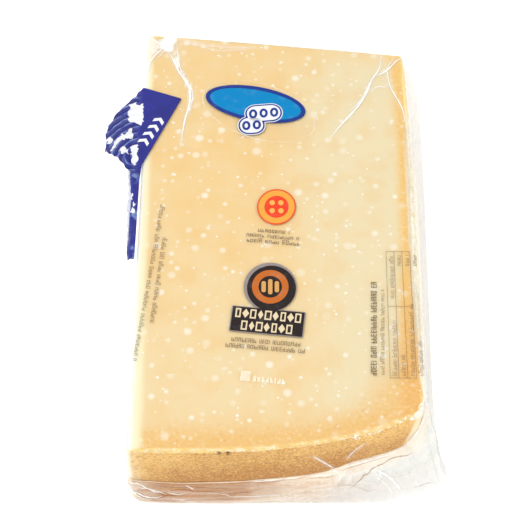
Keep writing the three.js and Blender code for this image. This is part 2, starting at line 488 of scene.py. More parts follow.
# Pale yellow of crumbs, also a painted highlight along the round edge
EDGE_YELLOW = colour(254, 226, 148, SLOPE_LIGHT)
CRUMB = colour(254, 240, 206, SLOPE_LIGHT)
GRAIN_PALE = colour(255, 249, 230, SLOPE_LIGHT)
GRAIN_WHITE = colour(255, 255, 250, SLOPE_LIGHT)
CRYSTAL_WHITE = colour(255, 254, 248, EDGE_LIGHT)
RIND_GOLD = colour(242, 196, 114, RIND_LIGHT)
RIND_BROWN = colour(184, 120, 32, RIND_LIGHT)
RIND_SPECK = colour(158, 98, 52, RIND_LIGHT)
PIN_MARK = colour(104, 66, 40, RIND_LIGHT)
FILM_WHITE = colour(248, 249, 245)
# White of the loose film's folds, a painted highlight
FOLD_WHITE = colour(255, 255, 253)
ROOT_CREAM = colour(250, 232, 206)
FILM_GREY = colour(206, 210, 205)
# Painted shade on the loose film's right side
FILM_STRIP = colour(168, 175, 171)
FILM_VEIL = colour(219, 219, 213)
FILM_EDGE_CREAM = colour(248, 241, 218, 1.3)
FILM_CREAM = colour(240, 224, 184)
# Painted shade along the film's rim at the tip
FILM_TEAL = colour(150, 172, 176)
SKIRT_TAN = colour(180, 120, 40)
SKIRT_PEACH = colour(234, 202, 164, 1.08)
# Painted shade on folds, tinted reddish by the rind
ROSY_FOLD = colour(188, 138, 106)
TEXT_INK = colour(122, 100, 76)
TAB_BLUE = colour(42, 46, 146, SLOPE_LIGHT)
# Darker blue, for random tone and painted shade in the tab's pleats; then a painted sheen on them
TAB_SHADE = colour(26, 30, 110, SLOPE_LIGHT)
TAB_SHINE = colour(140, 170, 224, SLOPE_LIGHT)
TAB_WHITE = colour(250, 251, 253, SLOPE_LIGHT)
TAB_SLIVER = colour(226, 232, 244, SLOPE_LIGHT)
SKY_BLUE = colour(0, 140, 204, SLOPE_LIGHT)
NIGHT_BLUE = colour(36, 62, 148, SLOPE_LIGHT)
SEAL_EDGE = colour(250, 96, 52, SLOPE_LIGHT)
SEAL_ORANGE = colour(254, 176, 72, SLOPE_LIGHT)
SEAL_RED = colour(252, 74, 46, SLOPE_LIGHT)
SEAL_DOT = colour(254, 190, 92, SLOPE_LIGHT)
BADGE_GREY = colour(158, 146, 142, SLOPE_LIGHT)
BADGE_INK = colour(46, 38, 38, SLOPE_LIGHT)
BADGE_BROWN = colour(206, 112, 46, SLOPE_LIGHT)
BADGE_GOLD = colour(228, 172, 100, SLOPE_LIGHT)
BADGE_CREAM = colour(243, 222, 182, SLOPE_LIGHT)
FAINT_WHITE = colour(255, 248, 232)
TITLE_INK = colour(104, 84, 58)


# ---- The cheese ----

ACROSS_STEP = 1.5
RADIUS_STEP = 1.8
SHARE_STEPS = 58
# The rind and the right wall have a finer mesh, which starts this far into their round edges
FINE_SHARE = 0.6
PIN_COUNT = 2
PIN_SPACING = 3.4
PIN_SIZE = 0.95
PIN_DEPTH = 0.6
PIN_START = -20.8
PIN_DOWN = 2.3
# How far in the painted highlight by the left edge reaches: at the tip, at the rind, and on the rind
HIGHLIGHT_REACH_TIP = 4.4
HIGHLIGHT_REACH_RIND = 10
HIGHLIGHT_REACH_ON_RIND = 2.6
CORNER_SLANT = 0.9
CORNER_WEAR = 6.2
# Unevenness of the cut faces, the rind and the crumbling edges: how high it is and what wavy() takes
CUT_WAVES = [(0.14, 26, 1, 1), (0.05, 5, 2, 1)]
RIND_WAVE = (0.16, 9, 3, 2)
RIND_LAYER_WAVE = (0.16, 2.6, 4, 1)
LAYER_STRETCH = np.array([0.5, 1, 1])
CRUMBLE_WAVE = (0.34, 1.5, 5, 1)
HIGHEST_RELIEF = 0.22
# How far the worn, pale right edge comes in over the slope, as (radius, width)
PALE_EDGE = [(8, 0.3), (14, 0.7), (21, 1), (30, 1.3), (40, 1.6), (60, 1.9), (90, 2.2), (114, 2.5),
             (140, 2), (163, 1.8), (176, 1.3), (187, 0.4)]


def graded(length, step, edge):
    """Stops from 0 to length as shares of it, closer together near both ends."""
    near = edge * np.array([0, 0.25, 0.5, 0.75, 1.0, 1.6])
    count = max(2, round((length - 2 * near[-1]) / step))
    middle = np.linspace(near[-1], length - near[-1], count + 1)[1:-1]
    return np.concatenate([near, middle, (length - near)[::-1]]) / length


def box_skin(counts):
    """The lattice places on a box's skin, and its quads with their faces out."""
    quads = []
    for axis in range(3):
        u, v = (axis + 1) % 3, (axis + 2) % 3
        i, j = (n.ravel() for n in np.meshgrid(np.arange(counts[u]), np.arange(counts[v])))
        for end in (0, counts[axis]):
            quad = np.zeros((len(i), 4, 3), int)
            quad[:, :, axis] = end
            for corner, (du, dv) in enumerate(((0, 0), (1, 0), (1, 1), (0, 1))):
                quad[:, corner, u] = i + du
                quad[:, corner, v] = j + dv
            quads.append(quad if end == 0 else quad[:, ::-1])
    corners = np.concatenate(quads).reshape(-1, 3)
    places, index = np.unique(corners, axis=0, return_inverse=True)
    return places, index.reshape(-1, 4)


def wedge_skin(name, steps, edge, grow):
    """A closed skin of the wedge with round edges. Its vertices keep their place on the wedge."""
    across_step, radius_step, share_steps = steps
    across = graded(TIP_WIDTH, across_step, edge)
    along = graded(WHEEL_RADIUS, radius_step, edge)
    wall = WHEEL_RADIUS * math.sin(WEDGE_ANGLE)
    up = graded(wall, wall / share_steps, edge)
    stops = (across, along, up)
    places, quads = box_skin([len(s) - 1 for s in stops])
    a, b, c = (stops[k][places[:, k]] for k in range(3))
    tip, rind = tip_radius(a) - grow, rind_radius(a) + grow
    thickness = TIP_THICKNESS + (tip + b * (rind - tip)) * math.sin(WEDGE_ANGLE)
    size = np.stack([np.full_like(a, TIP_WIDTH), rind - tip, thickness], 1)
    spot = np.stack([a, b, c], 1) * size
    reach = np.minimum(edge * (1 + BASE_EDGE_GAIN * (1 - c)), TIP_EDGE_SHARE * thickness)[:, None]
    inner = np.clip(spot, reach, size - reach)
    away = spot - inner
    spot = inner + away * reach / np.linalg.norm(away, axis=1, keepdims=True)
    a, b, c = (spot / size).T
    radius = tip + b * (rind - tip)
    piece = new_mesh(name, wedge_points(a, radius, c, grow), quads)
    set_values(piece, "across", a)
    set_values(piece, "radius", radius)
    set_values(piece, "share", c)
    return piece


def refine(piece, chosen):
    """Cuts each chosen face in four. chosen is true or false for each vertex."""
    work = bmesh.new()
    work.from_mesh(piece.data)
    work.verts.ensure_lookup_table()
    faces = [f for f in work.faces if all(chosen[v.index] for v in f.verts)]
    edges = list({e for f in faces for e in f.edges})
    bmesh.ops.subdivide_edges(work, edges=edges, cuts=1, use_grid_fill=True)
    bmesh.ops.recalc_face_normals(work, faces=work.faces)
    work.to_mesh(piece.data)
    work.free()
    piece.data.shade_smooth()


def pin_marks(x, share, radius):
    """A few pricks in the rind, at its upper edge: 1 in a prick and 0 outside."""
    down = (1 - share) * radius * WEDGE_ANGLE
    column = np.clip(np.round((x - PIN_START) / PIN_SPACING), 0, PIN_COUNT - 1)
    gap = np.hypot(x - PIN_START - column * PIN_SPACING, (down - PIN_DOWN) * 0.5)
    gap = gap * (1.1 - 0.08 * column)
    return 1 - smooth_between(gap, PIN_SIZE * 0.5, PIN_SIZE)


def worn_corner(from_front, from_side):
    """How crumbled the cheese is towards its front right corner, from 0 to 1."""
    chamfer = from_side + from_front * CORNER_SLANT
    return 1 - smooth_between(chamfer, CORNER_WEAR * 0.55, CORNER_WEAR)


def cheese_relief(points, crust, ragged):
    """How far the skin stands out: slow waves on a cut face, layers on the rind, crumbs where ragged."""
    cut = sum(waves(points, wave) for wave in CUT_WAVES)
    rough = waves(points, RIND_WAVE) + waves(points * LAYER_STRETCH, RIND_LAYER_WAVE)
    relief = cut * (1 - crust) + rough * crust + ragged * waves(points, CRUMBLE_WAVE)
    return np.minimum(relief, HIGHEST_RELIEF)


def left_edge_highlight(across, radius, share, from_front, to_left):
    """A painted highlight: the white band by the left edge, where the light from the left falls. to_left
    is how squarely the skin there looks left.
    """
    reach = HIGHLIGHT_REACH_TIP + (HIGHLIGHT_REACH_RIND - HIGHLIGHT_REACH_TIP) * radius / WHEEL_RADIUS
    reach = HIGHLIGHT_REACH_ON_RIND + (reach - HIGHLIGHT_REACH_ON_RIND) * smooth_between(from_front, 0.2, 2)
    highlight_and_crumble = np.clip(1 - across * TIP_WIDTH / reach, 0, 1) ** 2
    return highlight_and_crumble * (1 - smooth_between(to_left, 0.75, 0.97)) * smooth_between(share, 0.3, 0.6)


def pale_edge(radius, share, from_side):
    """The worn, pale edge on the slope's right."""
    pale = np.interp(radius, *zip(*PALE_EDGE)) - from_side
    return smooth_between(pale, -0.2, 0.3) * smooth_between(share, 0.84, 0.92)


def rind_end(across, share, from_front):
    """The rind's pale right end, whose border leans towards the corner at the top."""
    end = smooth_between(across - np.maximum(share - 0.66, 0) * 0.097, 0.935, 0.945)
    end = end * (1 - smooth_between(from_front, 0.4, 6)) * (1 - smooth_between(share, 0.95, 0.985))
    return end * smooth_between(share, 0.3, 0.6)


def make_cheese():
    """The chunk. Its values tell the finish where the rind, the painted highlight by the left edge with
    the pale crumbled corner, and the pale edges are.
    """
    piece = wedge_skin("cheese", (ACROSS_STEP, RADIUS_STEP, SHARE_STEPS), CHEESE_EDGE, 0)
    across, radius = get_values(piece, "across"), get_values(piece, "radius")
    near_rind = radius > rind_radius(across) - CHEESE_EDGE * FINE_SHARE
    refine(piece, near_rind | (across > 1 - CHEESE_EDGE * FINE_SHARE / TIP_WIDTH))
    across, radius, share = (get_values(piece, name) for name in ("across", "radius", "share"))
    points, normals = get_points(piece), get_normals(piece)
    from_front = rind_radius(across) - radius
    from_side = (1 - across) * TIP_WIDTH
    inward = np.minimum(from_front, from_side)
    crust = 1 - smooth_between(inward, 0.1, 0.9)
    ragged = 1 - smooth_between(inward + (1 - share) * radius * WEDGE_ANGLE * crust, 0.6, 2.2)
    marks = pin_marks(points[:, 0], share, radius) * (1 - smooth_between(from_front, 0.5, 1.3))
    relief = cheese_relief(points, crust, ragged) - PIN_DEPTH * marks
    move_points(piece, points + normals * relief[:, None])
    chipped = worn_corner(from_front, from_side) * smooth_between(share, 0.94, 0.97)
    chipped = chipped * smooth_between(wavy(points, 1.7, 9, 2), -0.2, 0.15)
    # A painted highlight along the left edge, joined with the pale crumbled corner
    highlight_and_crumble = left_edge_highlight(across, radius, share, from_front, -normals[:, 0])
    set_values(piece, "from_front", from_front)
    set_values(piece, "from_side", from_side)
    set_values(piece, "pin", marks)
    set_values(piece, "highlight_and_crumble", np.maximum(highlight_and_crumble, chipped))
    set_values(piece, "pale", pale_edge(radius, share, from_side))
    set_values(piece, "end", rind_end(across, share, from_front))
    return piece


def grain_spots(finish, place, size, radius, share):
    """Soft pale spots of many sizes and strengths in the paste. A share of the cells has one."""
    chance, spread, strength = finish.split(finish.cells(place, size, out="Color"))
    distance = finish.cells(place, size) * size
    reach = (0.35 + 0.65 * spread) * radius
    shape = 1 - (distance / reach).rise(0.4, 1.1)
    return shape * chance.rise(1 - share, 1 - share + 0.02) * (0.35 + 0.65 * strength)


def paste_colour(finish, place, near, from_front, from_side):
    x, y, _ = finish.split(place)
    broad = finish.cloud(place, 0.05, 3)
    middle = finish.cloud(place, 0.012, 3)
    grainy = finish.cloud(place, 0.0016, 3, 0.6)
    pale = (x + (broad - 0.5) * 0.03).rise(-0.004, 0.032)
    pale = pale.most((y + (broad - 0.5) * 0.04).fall(-0.08, 0.03) * 0.55)
    pale = pale * (1 - y.rise(0.085, 0.097) * 0.7)
    paste = finish.coats(
        STRAW,
        (pale, PALE_STRAW),
        ((middle + broad * 0.4).rise(0.62, 0.95) * 0.3, AMBER),
        ((1 - middle).rise(0.48, 0.75) * 0.3, PALE_STRAW),
    )
    jitter = (broad - 0.5) * 9 + (middle - 0.5) * 6 + (grainy - 0.5) * 5
    corner = (from_front + from_side + jitter).fall(22, 50)
    front = (from_front + jitter).fall(4, 17).most(corner * 0.88)
    side = (from_side - y.fall(-0.06, 0.03) * 2.8 + jitter * 0.3).fall(3.0, 8.4)
    deep = front.most(side)
    gold = finish.blend(y.fall(-0.06, -0.005), SIDE_GOLD, SIDE_AMBER)
    grit = (grainy - 0.5) * (0.4 + 0.4 * deep)
    # A pale yellow line along the slope's edges: crumbs, and a painted highlight on the round edge
    line = (near + (grainy - 0.5) * 2.6 + (middle - 0.5) * 1.6).fall(0.8, 2.2)
    dashes = finish.cloud(finish.stretched(place, 0.45, 1, 1), 0.0016, 2).rise(0.44, 0.58)
    spots = grain_spots(finish, place, 0.0064, 0.0026, 0.62) * 0.9
    spots = spots.most(grain_spots(finish, place, 0.0038, 0.0014, 0.5))
    bright = grain_spots(finish, place, 0.0044, 0.0008, 0.32)
    return finish.coats(
        paste,
        (front * 0.92, AMBER),
        (side * 0.92, gold),
        (grit.rise(0.03, 0.2) * 0.55, CRUMB),
        ((0 - grit).rise(0.03, 0.2) * 0.24, RIND_BROWN),
        (line * (0.35 + dashes * 0.5), EDGE_YELLOW),
        (line * dashes * grainy.rise(0.46, 0.6), CRUMB),
        (spots * (0.9 - deep * 0.45), GRAIN_PALE),
        (bright * (1 - deep * 0.4), GRAIN_WHITE),
    )


def rind_colour(finish, place, height):
    x = finish.split(place)[0]
    tone = finish.cloud(place, 0.014, 4, 0.6) - 0.5
    layers = finish.cloud(finish.stretched(place, 0.4, 1, 1), 0.003, 3, 0.6) - 0.5
    grit = finish.cloud(finish.stretched(place, 0.8, 1, 1), 0.0008, 2, 0.75)
    low = (1 - height).rise(0.0, 0.4)
    ends = x.rise(0.02, 0.055) * 0.3 + x.fall(-0.056, -0.026) * 0.4 + x.fall(-0.059, -0.044) * 0.45
    dark = low * 0.95 + 0.2 + tone * 1.2 + layers * 0.2 - ends - x.rise(0.0565, 0.058) * 0.4
    specks = 1 - finish.cells(place, 0.0011).rise(0.2, 0.5)
    patches = finish.cloud(place, 0.005, 2).rise(0.42, 0.62)
    return finish.coats(
        RIND_GOLD,
        (dark, RIND_BROWN),
        (x.fall(-0.0575, -0.0495) * 0.7, END_CREAM),
        (specks * patches * 0.5, RIND_SPECK),
        (grit.rise(0.5, 0.62) * 0.65, RIND_GOLD),
        (grit.fall(0.38, 0.5) * 0.55, RIND_SPECK),
    )


def cheese_finish():
    finish = Finish("paste_and_rind")
    place = finish.place()
    from_front = finish.value("from_front")
    from_side = finish.value("from_side")
    near = from_front.least(from_side)
    share = finish.value("share")
    middle = finish.cloud(place, 0.006, 3)
    fine = finish.cloud(place, 0.0012, 3)
    paste = paste_colour(finish, place, near, from_front, from_side)
    rind = rind_colour(finish, place, share)
    crust = near + share.rise(0.978, 0.992) * 0.8 + (middle - 0.5) * 0.8 + (fine - 0.5) * 0.8
    crust = crust.fall(0.2, 0.6)
    y = finish.split(place)[1]
    flecks = finish.cloud(finish.stretched(place, 1, 0.3, 1), 0.0014, 2).rise(0.5, 0.62)
    edge = finish.coats(SIDE_CREAM, (flecks * 0.6, SIDE_TAN), (y.rise(0.05, 0.072), SIDE_YELLOW))
    # Painted highlight along the left edge, and the pale crumbled corner
    highlight_and_crumble = finish.value("highlight_and_crumble") + (middle - 0.5) * 0.2
    skin = finish.coats(
        paste,
        (crust, rind),
        (finish.value("end") * 0.85, END_CREAM),
        (finish.value("pale") * 0.95, edge),
        (finish.value("pin"), PIN_MARK),
        (highlight_and_crumble.rise(0.04, 0.42) * 0.95, HIGHLIGHT_AND_CRUMB_CREAM),
        (highlight_and_crumble.rise(0.4, 0.95), HIGHLIGHT_AND_CRUMB_WHITE),
    )
    height = fine * (0.3 + crust * 0.7) + middle * 0.35
    shader = finish.surface(
        Base_Color=skin,
        Roughness=0.5 + crust * 0.15,
        Normal=finish.bump(height, 0.0003, 0.5),
        Subsurface_Weight=0.1,
        Subsurface_Radius=(0.005, 0.003, 0.0015),
        Subsurface_Scale=1.0,
        Specular_IOR_Level=0.18,
    )
    return finish.done(shader)


# ---- Lines and creases ----


def spline(points, counts):
    """A smooth line through points, with as many steps from each to the next as counts says."""
    points = np.asarray(points, float)
    padded = np.vstack([2 * points[0] - points[1], points, 2 * points[-1] - points[-2]])
    line = []
    for p0, p1, p2, p3, count in zip(padded, padded[1:], padded[2:], padded[3:], counts):
        t = np.linspace(0, 1, count, endpoint=False)[:, None]
        line.append(0.5 * (2 * p1 + (p2 - p0) * t + (2 * p0 - 5 * p1 + 4 * p2 - p3) * t**2
                           + (3 * p1 - p0 - 3 * p2 + p3) * t**3))
    return np.vstack([*line, points[-1:]])


def even_spline(points, step):
    gaps = np.linalg.norm(np.diff(np.asarray(points, float), axis=0), axis=1)
    return spline(points, np.maximum(2, np.ceil(gaps / step)).astype(int))


# Bright creases on the sloping face, painted white as a highlight: thickness, and places as (x, radius)
SLOPE_CREASES = [
    (0.36, [(-48.6, 5.8), (-46.3, 9.8), (-44.4, 14.4), (-42, 20.1), (-40.1, 23.5), (-38.3, 26.9),
            (-36.8, 31.4), (-36.7, 35.9), (-37.4, 41.5), (-38.6, 47), (-39.3, 53.6), (-40, 62)]),
    (0.18, [(-44.2, 0.4), (-43.4, 5.5), (-42.7, 10.9), (-41.6, 17.8), (-38.8, 24.6), (-36.5, 29.1),
            (-35.5, 33.6), (-36.2, 39.2), (-37.3, 44.8)]),
    (0.24, [(-48.7, 5.1), (-51, 4.4), (-53.2, 2.4), (-55.7, 0.9)]),
    (0.18, [(-48.3, 5.7), (-48.2, 2.8), (-48.6, 0.6)]),
    (0.26, [(-48.4, 6.4), (-50.3, 8), (-52.1, 9.8), (-54.2, 13.3), (-55.4, 16.8), (-56.1, 21.3)]),
    (0.15, [(-50, 6), (-52.6, 7.2), (-54.6, 9.6)]),
    (0.12, [(-49.4, 8.2), (-50.3, 10.6), (-51.8, 12)]),
    (0.06, [(-43.4, 5.1), (-37.6, 3.9), (-33.1, 5), (-27.7, 7.3), (-21.8, 7.8), (-12.9, 7.2)]),
    (0.05, [(-43, 1.6), (-38, 2.4), (-33, 3.8), (-27, 5.4), (-18, 6.2), (-8, 6)]),
    (0.36, [(47.8, 10.4), (47.2, 16), (45.7, 20), (43.4, 24), (41.9, 28.6), (39.6, 34.2), (36, 40.4),
            (31.5, 46.5), (27.5, 52), (24.4, 56.9)]),
    (0.22, [(46, 20.2), (42.6, 25.4), (40.6, 30.6), (37.4, 36.8), (33, 42.6)]),
    (0.28, [(57.1, 11.5), (54.3, 13.6), (51.6, 17.1), (48.8, 20), (46.6, 21.1), (44.8, 22.2)]),
    (0.22, [(53.5, 11), (52.1, 14.2), (50.2, 18.3), (50.5, 22.8), (51.2, 27.4), (52.8, 31.9),
            (54.5, 35.8), (56.1, 40.2), (56.9, 45.2), (57.2, 51.8)]),
    (0.14, [(42.8, 30.2), (45, 28.5), (47.2, 28), (49, 28.5), (49.9, 26.8)]),
    (0.2, [(-56.9, 62), (-57.3, 68), (-57.6, 75), (-57.6, 83)]),
]

# Fainter creases along the slope's right edge, painted pale as a highlight
EDGE_CREASES = [
    (0.24, [(56.9, 46), (57.3, 54), (57.3, 64), (57.4, 76), (57.3, 90), (57.2, 104), (57.1, 116),
            (57.2, 128), (57.5, 140), (57.9, 150), (58.3, 160), (58.8, 170)]),
    (0.12, [(57.2, 12.4), (57.9, 21), (58.3, 32.4), (58.6, 45), (58.8, 57.2), (59.2, 70.7), (59.3, 84),
            (59.3, 97), (59.5, 109.6), (59.9, 122), (60.2, 134.4)]),
    (0.14, [(58.6, 109.6), (58.7, 117.6), (59.5, 126), (60, 139.3), (60.2, 149), (60.4, 158.3)]),
    (0.16, [(58.2, 128), (58.9, 141), (59, 153.6), (59.5, 163), (60, 170), (60.2, 176), (60.2, 182)]),
]

# Bright creases on the rind, painted white as a highlight: thickness, lift, and places as (across, share
# of the height)
RIND_CREASES = [
    (0.22, 0.3, [(0.622, 0.865), (0.64, 0.82), (0.655, 0.777), (0.676, 0.713), (0.7, 0.635)]),
    (0.12, 0.3, [(0.793, 0.887), (0.774, 0.857), (0.755, 0.81), (0.74, 0.74)]),
]

# Painted highlights, white patches where the film on the sloping face catches the light: strength,
# softness, and outline as (x, radius)
GLARE_PATCHES = [
    (0.5, 2.0, [(-55, 0.6), (-51, 2.6), (-49.4, 5.4), (-51.4, 8.6), (-54.8, 12)]),
    (1.1, 1.6, [(-49, -2), (-43.9, -2), (-43.7, 1.5), (-45.4, 5.5), (-47.6, 4.4), (-50, 3)]),
    (1.2, 1.4, [(-50.4, 3.8), (-48.6, 2.8), (-46.8, 3.4), (-45.2, 6.2), (-45.8, 9), (-48.2, 8.2),
                (-50, 6.8)]),
    (0.75, 1.2, [(-44.4, 8), (-42.7, 10.9), (-41.6, 17.8), (-38.6, 24.6), (-36, 29.6), (-35.6, 34),
                 (-36.4, 40), (-37.6, 45), (-36.9, 36), (-38.4, 27), (-42, 20), (-44.6, 14)]),
    (0.45, 0.7, [(57.2, 50), (57.3, 76), (57.2, 104), (58.2, 104), (58.6, 84), (58.2, 50)]),
    (0.5, 0.8, [(57.3, 104), (57.2, 122), (57.6, 139), (58.4, 139), (58.2, 122), (58.2, 104)]),
    (0.4, 0.8, [(58.6, 130), (59, 150), (59.3, 170), (60.4, 176), (60.6, 149), (60, 134)]),
]
# Thickness of the bead along the tip's rim, painted grey-blue as shade
TIP_RIM_SHADE = 0.38
LINE_STEP = 1.1
RIND_HEIGHT = 80

# Small wrinkles on a wall: which end it is at, how many there are, and the largest radius they reach
WALL_WRINKLES = ((0, 10, 205), (1, 8, 182))
BASE_WRINKLES = 12
WRINKLE_SEED = 3

FILM_STEPS = (1.4, 1.5, 40)
# How far the film stands off the cheese: everywhere, in slow waves, and along its creases
FILM_SLACK = 0.05
FILM_WAVE = (0.06, 14, 6, 1)
CREASE_RISE = 0.16
CREASE_REACH = 0.9
# How white the film is painted along its creases, a painted highlight
CREASE_GLARE = 0.2
CREASE_SIDES = 8


def slope_line(places, lift=FILM_GROW):
    flat = even_spline([(x, r, 0) for x, r in places], LINE_STEP)
    return on_slope(flat[:, 0], flat[:, 1], lift)


def rind_line(places, lift):
    flat = even_spline([(a * TIP_WIDTH, c * RIND_HEIGHT, 0) for a, c in places], LINE_STEP)
    a, c = flat[:, 0] / TIP_WIDTH, flat[:, 1] / RIND_HEIGHT
    return wedge_points(a, rind_radius(a) + lift, c, lift)


def bright_lines():
    """The creases that show from above, as (thickness, points)."""
    lines = [(size, slope_line(places)) for size, places in SLOPE_CREASES]
    return lines + [(size, rind_line(places, lift)) for size, lift, places in RIND_CREASES]


def edge_lines():
    return [(size, slope_line(places)) for size, places in EDGE_CREASES]


def tip_rim_shade():
    """The film's rim along the tip, a thin bead whose grey-blue colour is painted shade."""
    across = np.linspace(0.1, 0.985, 90)
    radius = tip_radius(across) - FILM_GROW + 0.6
    return wedge_points(across, radius, np.ones_like(across), FILM_GROW - 0.3)


def random_lines(seed):
    """Small wrinkles on the walls and the base."""
    draw = np.random.default_rng(seed)
    lines = []
    for across, count, end_limit in WALL_WRINKLES:
        for _ in range(count):
            start = draw.uniform(20, 150)
            r = np.linspace(start, min(end_limit, start + draw.uniform(18, 60)), 26)
            c = draw.uniform(0.12, 0.9) + np.linspace(0, draw.uniform(-0.25, 0.25), 26)
            c = np.clip(c + 0.02 * np.sin(r * draw.uniform(0.1, 0.3)), 0.03, 0.97)
            side = np.full(26, float(across))
            lines.append((draw.uniform(0.12, 0.24), wedge_points(side, r, c, FILM_GROW)))
    for _ in range(BASE_WRINKLES):
        turn, length = draw.uniform(0, math.pi), draw.uniform(12, 45)
        t = np.linspace(0, 1, 22)
        a = np.clip(draw.uniform(0.05, 0.9) + t * length * math.cos(turn) / TIP_WIDTH, 0.02, 0.98)
        r = np.clip(draw.uniform(12, 180) + t * length * math.sin(turn), 12, 180)
        lines.append((draw.uniform(0.1, 0.18), wedge_points(a, r, np.zeros(22), FILM_GROW - 0.1)))
    return lines


def nearness(points, lines, reach):
    """How close each point is to the lines: 1 on a line, falling to 0 a few reaches away."""
    found = np.zeros(len(points))
    for _, line in lines:
        for here, there in zip(line[:-1:2], line[2::2]):
            mask = np.all(np.abs(points - here) < reach * 3 + 3, axis=1)
            if mask.any():
                gap = from_line(points[mask], here, there)
                found[mask] = np.maximum(found[mask], np.exp(-((gap / reach) ** 2)))
    return found


def make_film(lines):
    piece = wedge_skin("film", FILM_STEPS, FILM_EDGE, FILM_GROW)
    radius = get_values(piece, "radius")
    points, normals = get_points(piece), get_normals(piece)
    near = nearness(points, lines, CREASE_REACH)
    loose = FILM_SLACK + waves(points, FILM_WAVE) + CREASE_RISE * near
    base = smooth_between(-normals[:, 2], 0.5, 0.9)
    move_points(piece, points + normals * (loose * (1 - base))[:, None])
    on_top = smooth_between(get_values(piece, "share"), 0.9, 0.97)
    flat = np.stack([points[:, 0] + 0.9 * wavy(points, 3, 7, 2), radius + wavy(points, 3, 8, 2)], 1)
    # Painted highlight: the film is made white along its creases and in the patches
    glare = CREASE_GLARE * near
    for strength, soft, outline in GLARE_PATCHES:
        glare = np.maximum(glare, strength * inside(flat, outline, soft) * on_top)
    set_values(piece, "glare", glare)
    return piece


def make_creases(name, lines, material):
    """Thin raised ridges that follow the creases and taper out at their ends."""
    points, edges, thickness = [], [], []
    for size, line in lines:
        start = len(points)
        points.extend(line)
        edges.extend((start + i, start + i + 1) for i in range(len(line) - 1))
        share = np.linspace(0, 1, len(line))
        thickness.extend(size * MM * np.clip(np.sin(share * math.pi) * 1.6, 0.12, 1))
    mesh = bpy.data.meshes.new(name)
    mesh.from_pydata(to_row(points).tolist(), edges, [])
    piece = add_object(name, mesh)
    set_values(piece, "thickness", thickness)
    growth = Growth("creases", Sides="Int")
    radius = growth.stored("thickness")
    curve = growth.node("GeometryNodeMeshToCurve", None, {"Mesh": growth.given["Geometry"]})
    curve = growth.node("GeometryNodeSetCurveRadius", None, {"Curve": curve, "Radius": radius})
    ring = {"Resolution": growth.given["Sides"], "Radius": 1.0}
    ring = growth.node("GeometryNodeCurvePrimitiveCircle", None, ring)
    parts = {"Curve": curve, "Profile Curve": ring, "Fill Caps": True, "Scale": radius}
    tube = growth.node("GeometryNodeCurveToMesh", None, parts)
    return growth.grow(piece, tube, Sides=CREASE_SIDES, Finish=material)


# ---- The loose film ----

# Stations of the loose film, from the tip along the right side, round the front and up the left side:
# where it leaves the wedge as (across, radius, share), or with the rind's radius for None; its edge;
# how far it bulges out; how much its folds follow its edge; how deep they are; how milky it is
WEB_STATIONS = [
    ((1, 10.6, 0.85), (59.4, -7.4, 3), 0, 0, 0, 0.1),
    ((1, 13, 0.86), (62, -10.6, 3), 0.2, 0, 0, 0.1),
    ((1, 20, 0.86), (63.7, -18.9, 3), 0.5, 0, 0.1, 0.1),
    ((1, 32, 0.9), (64.7, -30, 3), 0.8, 0, 0.15, 0.1),
    ((1, 58, 0.93), (66.2, -54, 3), 1, 0, 0.2, 0.1),
    ((1, 93, 0.93), (67.4, -88, 3), 1, 0, 0.25, 0.1),
    ((1, 123, 0.93), (68.3, -118, 3), 1, 0, 0.3, 0.1),
    ((1, 153, 0.9), (69.1, -148, 2.5), 1, 0, 0.4, 0.1),
    ((1, 174, 0.88), (70.2, -170, 2), 1, 0, 0.6, 0.15),
    ((1, 183, 0.9), (71.6, -184, 1.8), 1, 0, 1, 0.22),
    ((1, 186, 0.93), (73, -193, 1.4), 1, 0, 1.4, 0.26),
    ((0.992, None, 0.86), (76.4, -198.4, 1.1), 1, 0, 1.8, 0.27),
    ((0.972, None, 0.775), (72.5, -200.4, 1), 1, 0, 2, 0.25),
    ((0.954, None, 0.725), (68.2, -201.6, 0.9), 1, 0, 2, 0.24),
    ((0.936, None, 0.655), (61, -203.8, 0.8), 1, 0, 2, 0.22),
    ((0.885, None, 0.644), (54.8, -205.1, 0.8), 1, 0, 1.9, 0.22),
    ((0.845, None, 0.653), (48.8, -207, 0.7), 1, 0.1, 1.8, 0.22),
    ((0.8, None, 0.658), (42, -207.3, 0.7), 1, 0.2, 1.7, 0.25),
    ((0.755, None, 0.658), (36, -207.2, 0.7), 1.4, 0.3, 1.6, 0.3),
    ((0.71, None, 0.636), (30, -207.2, 0.7), 1.8, 0.4, 1.4, 0.36),
    ((0.655, None, 0.6), (22, -207.1, 0.7), 2.2, 0.6, 1.2, 0.42),
    ((0.58, None, 0.604), (12, -207.1, 0.7), 2.6, 0.8, 1, 0.48),
    ((0.51, None, 0.613), (3, -207.2, 0.7), 3, 1, 0.9, 0.54),
    ((0.445, None, 0.62), (-5, -207.4, 0.7), 3.2, 1, 0.9, 0.58),
    ((0.375, None, 0.609), (-13, -207.5, 0.7), 3.4, 1, 0.9, 0.62),
    ((0.185, None, 0.606), (-35, -207.6, 0.7), 3.6, 1, 1, 0.64),
    ((0.095, None, 0.623), (-46, -207.5, 0.8), 3.6, 1, 1, 0.58),
    ((0.01, None, 0.66), (-56, -206.6, 1), 3.2, 0.8, 1, 0.4),
    ((0, 205, 0.63), (-61.5, -203.8, 1.6), 1.5, 0.3, 1.2, 0.06),
    ((0, 197, 0.52), (-73.6, -201.5, 2), 0, 0, 1.6, 0.03),
    ((0, 187, 0.42), (-76.6, -184, 2.5), 0, 0, 1.8, 0.04),
    ((0, 172, 0.32), (-73, -166.5, 3), 0, 0, 1, 0.04),
    ((0, 158, 0.24), (-66.4, -156, 4), 0, 0, 0.4, 0.03),
    ((0, 134, 0.18), (-61.4, -132, 5), 0, 0, 0.1, 0.03),
    ((0, 98, 0.15), (-58.6, -97, 6), 0, 0, 0, 0.03),
]
